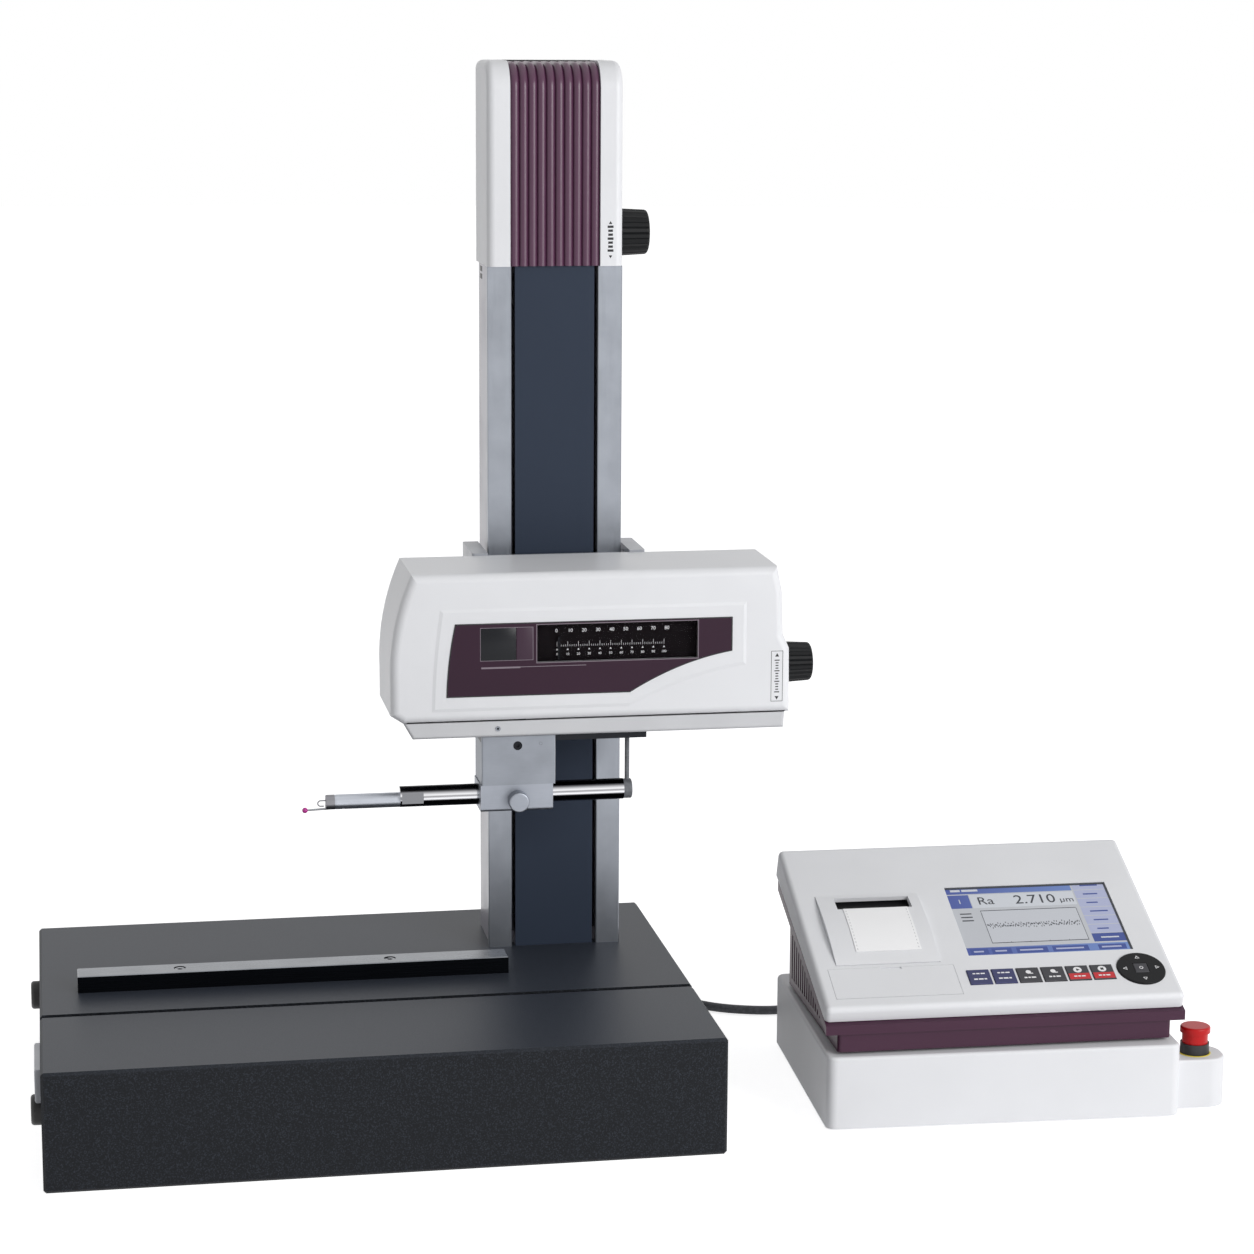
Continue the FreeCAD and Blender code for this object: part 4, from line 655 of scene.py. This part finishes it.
fence_screw_x, fence_screw_spacing = mm(-73.0, 196.0)
fence_low, fence_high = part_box("fence_bar")
fence_middle_y = (fence_low.y + fence_high.y) / 2
bm = bmesh.new()
for side in (-1, 1):
    x = fence_screw_x + side * fence_screw_spacing / 2
    socket_screw(bm, *mm(4.6, -6.5, -0.8), moved(x, fence_middle_y, fence_high.z))
piece("fence_screws", bm, [turned_steel], "root")

# %% [markdown]
# On the right cheek of the head small marks say which way the knob lifts: a ladder of ticks
# between two arrows. Under the head, the column's left side has a few small slots, each drawn as a
# thin near-black block on the face: painted shade for the opening. A black strip lies over the rear
# end of the ribs on top. All of it could be painted by a mask, but thin pieces keep their edges
# sharp from near and far.

# %% Head and column marks
HALF_TURN = Matrix.Rotation(math.radians(180), 4, "Z")


def arrow(bm, size, where, index=0):
    """A flat triangle that points along local Y."""
    made = bmesh.ops.create_cone(bm, cap_ends=True, segments=3, radius1=size, radius2=size,
                                 depth=0.08 * MM)
    settle(bm, made["verts"], where, index)


def ladder(bm, where, size, arrows, ticks, first, pitch, thick, every, halves):
    """Ticks between two arrows, up a front face, in millimetres. Some ticks are longer."""
    low, high = arrows
    arrow(bm, size * MM, where @ moved(0, high * MM, 0))
    arrow(bm, size * MM, where @ moved(0, low * MM, 0) @ HALF_TURN)
    for step in range(ticks):
        half = halves[0 if step % every == 0 else 1]
        height = first + step * pitch
        block(bm, mm(-half, half), mm(height, height + thick), mm(-0.05, 0.05), where)


head_low, head_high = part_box("head_shell")
bm = bmesh.new()
cheek = moved(head_high.x - 12.0 * MM, head_low.y, head_low.z) @ FRONT
ladder(bm, cheek, 1.9, (9, 40), 7, 13.3, 3.7, 2.2, 3, (2.8, 2.2))
piece("lift_marks", bm, [black_ink], "root")

flute_low, flute_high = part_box("head_flutes")
bm = bmesh.new()
block(bm, (flute_low.x + 1 * MM, flute_high.x - 4 * MM),
      (flute_high.y - 7.0 * MM, flute_high.y - 0.5 * MM),
      (head_high.z - 4.2 * MM, head_high.z), bevel=0.3 * MM)
piece("head_strip", bm, [black_plastic], "root")

# Each slot: how far it lies behind the column's front, its width, and its ends under the top.
slot_places = ((52, 15, 9, 4), (52, 15, 16, 11), (3, 4, 18, 4))
frame_low, frame_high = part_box("column_frame")
# Each slot is a thin near-black block on the face: painted shade standing in for the opening.
bm = bmesh.new()
for depth, wide, low, high in slot_places:
    x = (frame_low.x - 0.05 * MM, frame_low.x + 0.3 * MM)
    y = (frame_low.y + depth * MM, frame_low.y + (depth + wide) * MM)
    block(bm, x, y, (frame_high.z - low * MM, frame_high.z - high * MM), bevel=0.1 * MM)
piece("column_slots_painted_shade", bm, [black_plastic], "root")

# %% [markdown]
# The drive unit's dark panel has a status window and a scale window in pale frames, two lines
# under them and a dark rim round its edge. A bevelled curve could draw the rim, but a bevel is
# round. The rim is a flat ribbon instead: short thin blocks along two shallow curves.

# %% Panel lines and rim
panel_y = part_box("drive_panel")[0].y
scale_frame = mm(156.5, 306.5, 415.0, 450.0)
status_frame = mm(104.5, 152.5, 418.0, 448.0)


def outline(bm, frame, width, y):
    """A thin rectangular frame on a face that looks along -Y."""
    left, right, low, high = frame
    depth = (y - 0.12 * MM, y + 0.12 * MM)
    block(bm, (left - width, right + width), depth, (high, high + width))
    block(bm, (left - width, right + width), depth, (low - width, low))
    block(bm, (left - width, left), depth, (low, high))
    block(bm, (right, right + width), depth, (low, high))


line_depth = (panel_y - 0.1 * MM, panel_y + 0.1 * MM)
bm = bmesh.new()
outline(bm, scale_frame, 0.7 * MM, panel_y)
outline(bm, status_frame, 0.5 * MM, panel_y)
block(bm, mm(105, 141), line_depth, mm(410.3, 411.9))
block(bm, mm(141, 202), line_depth, mm(411.1, 411.7))
piece("panel_lines", bm, [frame_line], "drive_unit")


def bowed(start, through, end, steps=14):
    """Points on a shallow curve from one place through another to a third."""
    pull = [2 * b - (a + c) / 2 for a, b, c in zip(start, through, end)]
    points = []
    for step in range(steps + 1):
        t = step / steps
        points.append(tuple((1 - t) ** 2 * a + 2 * t * (1 - t) * p + t * t * c
                            for a, p, c in zip(start, pull, end)))
    return points


def ribbon(bm, path, width, face_y):
    """A thin line on a front face, laid from point to point."""
    for (x0, z0), (x1, z1) in zip(path, path[1:]):
        half = math.hypot(x1 - x0, z1 - z0) / 2 + 0.3 * width
        turn = Matrix.Rotation(-math.atan2(z1 - z0, x1 - x0), 4, "Y")
        block(bm, (-half, half), mm(-0.1, 0.1), (-width / 2, width / 2),
              moved((x0 + x1) / 2, face_y, (z0 + z1) / 2) @ turn)


rim_path = bowed((81.5, 452.0), (75.9, 418.5), (73.5, 385.0))
rim_path += bowed((243.0, 385.0), (290.0, 408.0), (338.5, 421.0))
rim_path += [(338.5, 452.0), (81.5, 452.0)]
bm = bmesh.new()
ribbon(bm, [mm(x, z) for x, z in rim_path], 1.1 * MM, panel_y + 0.02 * MM)
piece("panel_rim", bm, [black_ink], "drive_unit")

# %% [markdown]
# The status window holds a dark screen and a grey field. They could be painted on the lens, but
# two thin tiles give each its own gloss, and their tiny bevels catch the light as glass edges do.

# %% The status window
left, right, low, high = status_frame
status_split = 137.0 * MM
tile_depth = (panel_y - 0.3 * MM, panel_y - 0.1 * MM)
bm = bmesh.new()
block(bm, (left, status_split), tile_depth, (low, high), bevel=0.08 * MM)
block(bm, (status_split + 0.4 * MM, right), tile_depth, (low, high), index=1, bevel=0.08 * MM)
piece("status_screen", bm, [status_dark, status_grey], "drive_unit")

# %% [markdown]
# The scale's figures lie on the black plate behind the glass, a few millimetres deep as on the real
# one. Numbers could come from a picture, but then they blur close up. They are text curves turned
# into meshes: one row over the ticks, and a finer row with small arrows under them. Figures, arrows
# and ticks share a finish that glows: painted light against the shade inside the window.

# %% The scale behind the glass


def words(bm, text, size, where, index=0):
    """Flat lettering with a little thickness, made a mesh before it is placed."""
    curve = bpy.data.curves.new("words", "FONT")
    curve.body = text
    curve.size = size
    curve.align_x = "CENTER"
    curve.align_y = "CENTER"
    curve.extrude = 0.04 * MM
    curve.resolution_u = 3
    holder = bpy.data.objects.new("words", curve)
    scene.collection.objects.link(holder)
    bpy.context.view_layer.update()
    drawn = holder.evaluated_get(bpy.context.evaluated_depsgraph_get())
    mesh = bpy.data.meshes.new_from_object(drawn)
    mesh.transform(where)
    before = len(bm.faces)
    bm.from_mesh(mesh)
    bm.faces.ensure_lookup_table()
    for face in bm.faces[before:]:
        face.material_index = index
    bpy.data.objects.remove(holder)
    bpy.data.curves.remove(curve)
    bpy.data.meshes.remove(mesh)


scale_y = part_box("scale_plate")[0].y + 6.0 * MM - 0.06 * MM
scale_face = moved(0, scale_y, 0) @ FRONT
tick_depth = (scale_y - 0.05 * MM, scale_y + 0.05 * MM)
upper_row, lower_row, arrow_row, tick_foot = mm(442.0, 420.0, 424.4, 427.2)
upper_first, upper_pitch = mm(176.0, 12.9)
lower_first, lower_pitch = mm(176.5, 10.0)
bm = bmesh.new()
for index in range(9):
    place = moved(upper_first + index * upper_pitch, upper_row, 0)
    words(bm, str(index * 10), 4.6 * MM, scale_face @ place)
for index in range(11):
    x = lower_first + index * lower_pitch
    words(bm, str(index * 10), 3.2 * MM, scale_face @ moved(x, lower_row, 0))
    arrow(bm, 1.1 * MM, scale_face @ moved(x, arrow_row, 0))
for index in range(51):
    x = lower_first + index * lower_pitch / 5
    tall = (4.6 if index % 5 == 0 else 1.8) * MM
    block(bm, (x - 0.13 * MM, x + 0.13 * MM), tick_depth, (tick_foot, tick_foot + tall))
piece("scale_figures", bm, [figure_white_painted_glow], "drive_unit")

# %% [markdown]
# Small marks and screws finish the unit: a framed ladder of ticks beside the knob, a screw in the
# skirt, the socket screw that holds the detector holder, and its small set screw. The helpers for
# the head's marks and the fence's screws make them all, in other sizes.

# %% Drive unit fittings
label_frame = mm(376.6, 387.0, 371.5, 418.5)
cover_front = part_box("drive_cover")[0].y + 0.8 * MM
bm = bmesh.new()
outline(bm, label_frame, 0.4 * MM, cover_front)
marks = moved((label_frame[0] + label_frame[1]) / 2, cover_front, label_frame[2]) @ FRONT
ladder(bm, marks, 2.2, (3.4, 43.0), 13, 8.0, 2.5, 1.0, 4, (2.4, 1.4))
piece("traverse_marks", bm, [black_ink], "drive_unit")

bm = bmesh.new()
skirt_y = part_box("drive_chassis")[0].y
socket_screw(bm, *mm(2.4, 0.0, 0.5), moved(121.0 * MM, skirt_y, 353.0 * MM) @ FRONT, hole=0.5)
piece("skirt_screw", bm, [machined_grey], "drive_unit")

bm = bmesh.new()
holder_low, holder_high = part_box("holder_block")
screw_x = (holder_low.x + holder_high.x) / 2 - 1.0 * MM
spot = moved(screw_x, holder_low.y, holder_low.z + 37.0 * MM) @ FRONT
socket_screw(bm, *mm(4.0, -4.0, -0.8), spot)
spot = moved(162.0 * MM, holder_low.y, 336.0 * MM) @ FRONT
socket_screw(bm, *mm(1.5, -0.5, 0.1), spot)
piece("holder_screws", bm, [black_metal], "traverse")

# %% [markdown]
# The controller's deck is tilted and turned. Its marks could each be turned by hand, but they are
# easier to lay out flat in the deck's own frame: u to the right, v up the slope, w out of the face.
# The frame is read from the joints: the pad rocks about u, and the keys are pressed against w.

# %% The deck's own frame
pad_u, pad_v, pad_w = mm(305.9, 39.0, -1.5)
u_axis = Vector(joints["nav_rock"]["axis"]).normalized()
w_axis = -Vector(joints["key_1_press"]["axis"]).normalized()
v_axis = w_axis.cross(u_axis)
pad_place = Vector(joints["nav_rock"]["pos_m"])
deck_origin = pad_place - u_axis * pad_u - v_axis * pad_v - w_axis * pad_w
DECK = Matrix((u_axis, v_axis, w_axis)).transposed().to_4x4()
DECK.translation = deck_origin
print("deck origin", tuple(round(value, 4) for value in deck_origin))

# %% [markdown]
# The display's picture is a header, a reading, a plot with its trace, a column of soft keys and a
# footer. A picture file isn't needed for such flat shapes, so it is a set of thin lit tiles. Each
# is placed by its shares of the window's width and height, and layer by layer they stand a little
# higher, so that none fights another for the same place.

# %% The display
screen_u, screen_v = mm(148.7, 306.8), mm(68.7, 171.8)
screen_w = -1.0 * MM


def on_screen(share_u, share_v):
    """The u and v of a place given by its shares of the screen's width and height."""
    return (screen_u[0] + share_u * (screen_u[1] - screen_u[0]),
            screen_v[0] + share_v * (screen_v[1] - screen_v[0]))


def screen_tile(bm, left, right, low, high, index, layer):
    (u0, v0), (u1, v1) = on_screen(left, low), on_screen(right, high)
    depth = (screen_w - 0.02 * MM, screen_w + 0.06 * MM * layer)
    block(bm, (u0, u1), (v0, v1), depth, DECK, index)


def screen_words(bm, text, size, share_u, share_v, index):
    place = DECK @ moved(*on_screen(share_u, share_v), screen_w + 0.20 * MM)
    words(bm, text, size * MM, place, index)


blue, deep, lilac, grey, pale, dark, field = range(7)
bm = bmesh.new()
screen_tile(bm, 0.0, 1.0, 0.0, 1.0, grey, 1)
screen_tile(bm, 0.0, 0.78, 0.90, 1.0, blue, 2)
screen_tile(bm, 0.0, 0.13, 0.69, 0.885, blue, 2)
screen_tile(bm, 0.135, 0.78, 0.69, 0.885, pale, 2)
for step in range(7):
    low = 0.905 - step * 0.128
    face, label = (deep, pale) if step == 6 else (lilac, deep)
    screen_tile(bm, 0.79, 1.0, low, low + 0.118, face, 2)
    screen_tile(bm, 0.84, 0.95 - 0.02 * (step % 3), low + 0.05, low + 0.068, label, 3)
screen_tile(bm, 0.0, 1.0, 0.0, 0.115, blue, 2)
for left, right in ((0.02, 0.13), (0.15, 0.27), (0.30, 0.49), (0.52, 0.74), (0.80, 0.97)):
    screen_tile(bm, left, right, 0.02, 0.095, deep, 3)
    screen_tile(bm, left + 0.02, right - 0.03, 0.048, 0.068, lilac, 4)
for left, right in ((0.03, 0.09), (0.10, 0.20)):
    screen_tile(bm, left, right, 0.935, 0.965, pale, 3)

plot_left, plot_right, plot_low, plot_high = 0.17, 0.76, 0.17, 0.64
screen_tile(bm, plot_left, plot_right, plot_low, plot_high, field, 2)
for low in (plot_low, plot_high):
    screen_tile(bm, plot_left, plot_right, low, low + 0.008, dark, 3)
for left in (plot_left, plot_right):
    screen_tile(bm, left, left + 0.003, plot_low, plot_high, dark, 3)
for step in range(1, 5):
    left = plot_left + (plot_right - plot_left) * step / 5
    screen_tile(bm, left, left + 0.002, plot_low, plot_low + 0.02, dark, 3)
for row in range(3):
    screen_tile(bm, 0.04, 0.11, 0.60 - row * 0.05, 0.615 - row * 0.05, dark, 3)
screen_words(bm, "Ra", 16.0, 0.225, 0.785, dark)
screen_words(bm, "2.710", 18.5, 0.53, 0.785, dark)
screen_words(bm, "µm", 11.0, 0.725, 0.765, dark)
screen_words(bm, "1", 9.0, 0.065, 0.785, pale)

trace_steps, trace_half = 120, 0.009
trace_middle = (plot_low + plot_high) / 2 + 0.02
for step in range(trace_steps):
    left = plot_left + 0.01 + step / trace_steps * (plot_right - plot_left - 0.02)
    height = trace_middle + (0.020 * math.sin(step * 1.9) + 0.014 * math.sin(step * 3.7 + 1)
                             + 0.006 * math.sin(step * 0.6))
    screen_tile(bm, left, left + 0.0045, height - trace_half, height + trace_half, dark, 3)
screen_tile(bm, 0.0, 1.0, 0.972, 1.0, dark, 5)
screen_tile(bm, 0.988, 1.0, 0.0, 1.0, dark, 5)
piece("display_picture", bm, [screen_blue, screen_deep, screen_lilac, screen_grey, screen_pale,
                              screen_dark, screen_plot], "root")

# %% [markdown]
# The six keys carry printed legends. Words are left out; bars and simple signs give the same
# rhythm. On the last two keys the lower half is red. One piece for all six would be shorter, but
# each key moves alone, so each has its own set that goes down with it.

# %% Key legends
key_first, key_pitch, key_v, key_top = mm(151.05, 23.5, 36.5, 1.2)
key_half_u, key_half_v = 9.9, 9.6


def disc(bm, radius, low, high, where, index=0):
    """A round block along the local Z axis."""
    made = bmesh.ops.create_cone(bm, cap_ends=True, segments=32, radius1=radius, radius2=radius,
                                 depth=high - low, matrix=moved(0, 0, (low + high) / 2))
    settle(bm, made["verts"], where, index)


def legend_bars(bm, where, v, widths, thick, height=0.06):
    """A row of short bars, centred on the key, like a printed word seen from afar."""
    gap = 0.9
    left = -(sum(widths) + gap * (len(widths) - 1)) / 2
    for width in widths:
        block(bm, mm(left, left + width), mm(v, v + thick), mm(-0.03, height), where)
        left += width + gap


for number in range(6):
    face = DECK @ moved(key_first + number * key_pitch, key_v, key_top)
    bm = bmesh.new()
    inks = [white_ink]
    if number < 2:
        legend_bars(bm, face, 3.4, (2.6, 3.2, 4.0), 1.6)
        legend_bars(bm, face, -4.6, (3.6, 4.4, 2.4), 1.9)
    elif number < 4:
        disc(bm, *mm(2.5, -0.03, 0.06), face @ moved(0, 3.6 * MM, 0))
        block(bm, mm(1.0, 4.2), mm(1.0, 2.2), mm(-0.03, 0.05), face)
        legend_bars(bm, face, -5.2, (2.8, 2.2, 4.2), 1.9)
    else:
        inks = [white_ink, key_red, black_plastic]
        sign = face @ moved(0, 3.8 * MM, 0)
        block(bm, mm(-key_half_u, key_half_u), mm(-key_half_v, -1.2), mm(-0.03, 0.05), face, 1)
        disc(bm, *mm(4.0, -0.03, 0.06), sign)
        if number == 4:
            turn = Matrix.Rotation(math.radians(-90), 4, "Z")
            arrow(bm, 2.2 * MM, sign @ moved(0, 0, 0.08 * MM) @ turn, 2)
        else:
            block(bm, mm(-1.5, 1.5), mm(-1.5, 1.5), mm(0.0, 0.10), sign, 2)
        legend_bars(bm, face, -6.2, (3.0, 2.4, 3.8), 1.7, 0.09)
    piece("legend_%d" % (number + 1), bm, inks, "key_%d" % (number + 1))

# %% [markdown]
# The round pad has an arrow near each edge and a square button with a small ring in its middle. A
# real ring could be cut from a disc; a smaller dark disc on a white one looks the same from above.

# %% Pad marks
bm = bmesh.new()
for quarter in range(4):
    turn = Matrix.Rotation(math.radians(90 * quarter), 4, "Z")
    spot = DECK @ moved(pad_u, pad_v, 1.6 * MM) @ turn
    arrow(bm, 2.6 * MM, spot @ moved(0, 15.0 * MM, 0))
    arrow(bm, 1.5 * MM, spot @ moved(0, 15.0 * MM, 0.03 * MM), 1)
piece("pad_arrows", bm, [white_ink, knob_rubber], "nav_pad")

bm = bmesh.new()
spot = DECK @ moved(pad_u, pad_v, 1.8 * MM)
disc(bm, *mm(1.9, -0.03, 0.06), spot)
disc(bm, *mm(1.2, -0.02, 0.10), spot, 1)
piece("button_mark", bm, [white_ink, key_dark], "nav_button")

# %% [markdown]
# A row of short grey dashes runs down each edge of the printed strip: a painted shadow along the
# sheet's edges, broken up into dashes. A pattern in the paper's finish could draw them, but it
# would have to be fitted to the sheet's edges. The strip bends over the lid, so each dash takes its
# height and its lean from the same arc as the sheet.

# %% Strip dashes
lid_middle, lid_radius, lid_top = mm(112.975, 299.8, 5.0)
strip_edges = mm(45.0, 103.0)
dash_first, dash_pitch, dash_count = 80.0, 4.6, 13
reach = lid_radius + 0.7 * MM
bm = bmesh.new()
for step in range(dash_count):
    v = (dash_first + dash_pitch * step) * MM
    rise = lid_top - lid_radius + math.sqrt(reach * reach - (v - lid_middle) ** 2)
    lean = Matrix.Rotation(-math.asin((v - lid_middle) / reach), 4, "X")
    for u in strip_edges:
        block(bm, mm(-0.25, 0.25), mm(-1.0, 1.0), mm(-0.05, 0.04), DECK @ moved(u, v, rise) @ lean)
piece("strip_painted_edge_shadow", bm, [painted_edge_shadow_grey], "printer_lid")

# %% [markdown]
# The emergency stop has a thin yellow ring under its collar. A torus would be round in section,
# and this ring is flat, so a small flattened circle is spun about the stop's axis.

# %% The yellow ring


def ring(bm, inner, outer, height, where):
    """A flat ring with rounded edges: a section spun about the local Z axis."""
    before = set(bm.verts)
    section = bmesh.ops.create_circle(bm, cap_ends=False, segments=12, radius=0.5)["verts"]
    shape = moved((inner + outer) / 2, 0, height / 2) @ sized(outer - inner, 1, height) @ FRONT
    bmesh.ops.transform(bm, matrix=shape, verts=section)
    edges = list({edge for vert in section for edge in vert.link_edges})
    bmesh.ops.spin(bm, geom=section + edges, cent=(0, 0, 0), axis=(0, 0, 1),
                   angle=math.radians(360), steps=64, use_merge=True)
    settle(bm, [vert for vert in bm.verts if vert not in before], where, 0)


cap_low, cap_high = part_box("estop_cap")
stop_x, stop_y = (cap_low.x + cap_high.x) / 2, (cap_low.y + cap_high.y) / 2
stop_place = moved(stop_x, stop_y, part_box("estop_collar")[0].z)
bm = bmesh.new()
ring(bm, *mm(13.5, 15.0, 0.8), stop_place)
piece("stop_ring", bm, [yellow_ring], "root")

# %% [markdown]
# The tester stands on a white sweep with no edge. A curved sheet behind it would do for one view,
# but the object is seen from all sides, so a wide round floor meets an even white air. The floor
# catches soft shadow. For the camera and for mirrors it is lifted to white, so the picture's
# ground is as bright as the air above it.

# %% Floor and air


def seen_directly(owner):
    """1 for the rays that show the ground itself: camera, mirror and see-through rays."""
    path = node(owner, "LightPath")
    mask = path.outputs["Is Camera Ray"]
    for kind in ("Is Glossy Ray", "Is Transmission Ray"):
        either = node(owner, "Math", operation="MAXIMUM")
        link(owner, mask, either.inputs[0])
        link(owner, path.outputs[kind], either.inputs[1])
        mask = either.outputs[0]
    return mask


def sweep_white():
    material = blank("sweep_white", tone(238, 238, 240), 0.9, specular=0.1)
    parts = material.node_tree.nodes
    glow = node(material, "Emission")
    lift = ranged(material, seen_directly(material), 0.0, 0.80, 0.0, 1.0)
    link(material, lift, glow.inputs["Strength"])
    both = node(material, "AddShader")
    link(material, parts["Principled BSDF"].outputs[0], both.inputs[0])
    link(material, glow.outputs[0], both.inputs[1])
    link(material, both.outputs[0], parts["Material Output"].inputs["Surface"])
    return material


def studio_air():
    world = bpy.data.worlds.new("studio")
    world.use_nodes = True
    back = world.node_tree.nodes["Background"]
    back.inputs["Color"].default_value = (1.0, 1.0, 1.0, 1.0)
    level = ranged(world, seen_directly(world), 0.33, 1.0, 0.0, 1.0)
    link(world, level, back.inputs["Strength"])
    return world


bm = bmesh.new()
bmesh.ops.create_circle(bm, cap_ends=True, segments=64, radius=14.0,
                        matrix=moved(0.3, 0.0, -0.0002))
mesh = bpy.data.meshes.new("floor")
bm.to_mesh(mesh)
bm.free()
mesh.materials.append(sweep_white())
floor = bpy.data.objects.new("floor", mesh)
scene.collection.objects.link(floor)
scene.world = studio_air()
scene.view_settings.view_transform = "Standard"
print("floor", floor.name, "under the air of", scene.world.name)

# %% [markdown]
# One big soft lamp on the right gives the shapes their light and dark sides, as in a catalogue
# picture. A sun would do, but its shadows are hard. Two weak lamps, over it and on the left, keep
# the top and the dark side readable.

# %% Lights


def softbox(name, place, size, power, aim=(0.2, 0.0, 0.4)):
    """A rectangular lamp, aimed at the middle of the instrument."""
    light = bpy.data.lights.new(name, "AREA")
    light.shape = "RECTANGLE"
    light.size, light.size_y = size
    light.energy = power
    made = bpy.data.objects.new(name, light)
    made.location = place
    made.rotation_euler = (Vector(aim) - Vector(place)).to_track_quat("-Z", "Y").to_euler()
    scene.collection.objects.link(made)


softbox("key", (2.2, -2.6, 1.45), (1.8, 1.8), 74.0)
softbox("top", (0.1, -0.3, 3.2), (2.6, 2.0), 5.0)
softbox("left", (-3.0, -1.2, 1.2), (1.6, 1.8), 3.0)
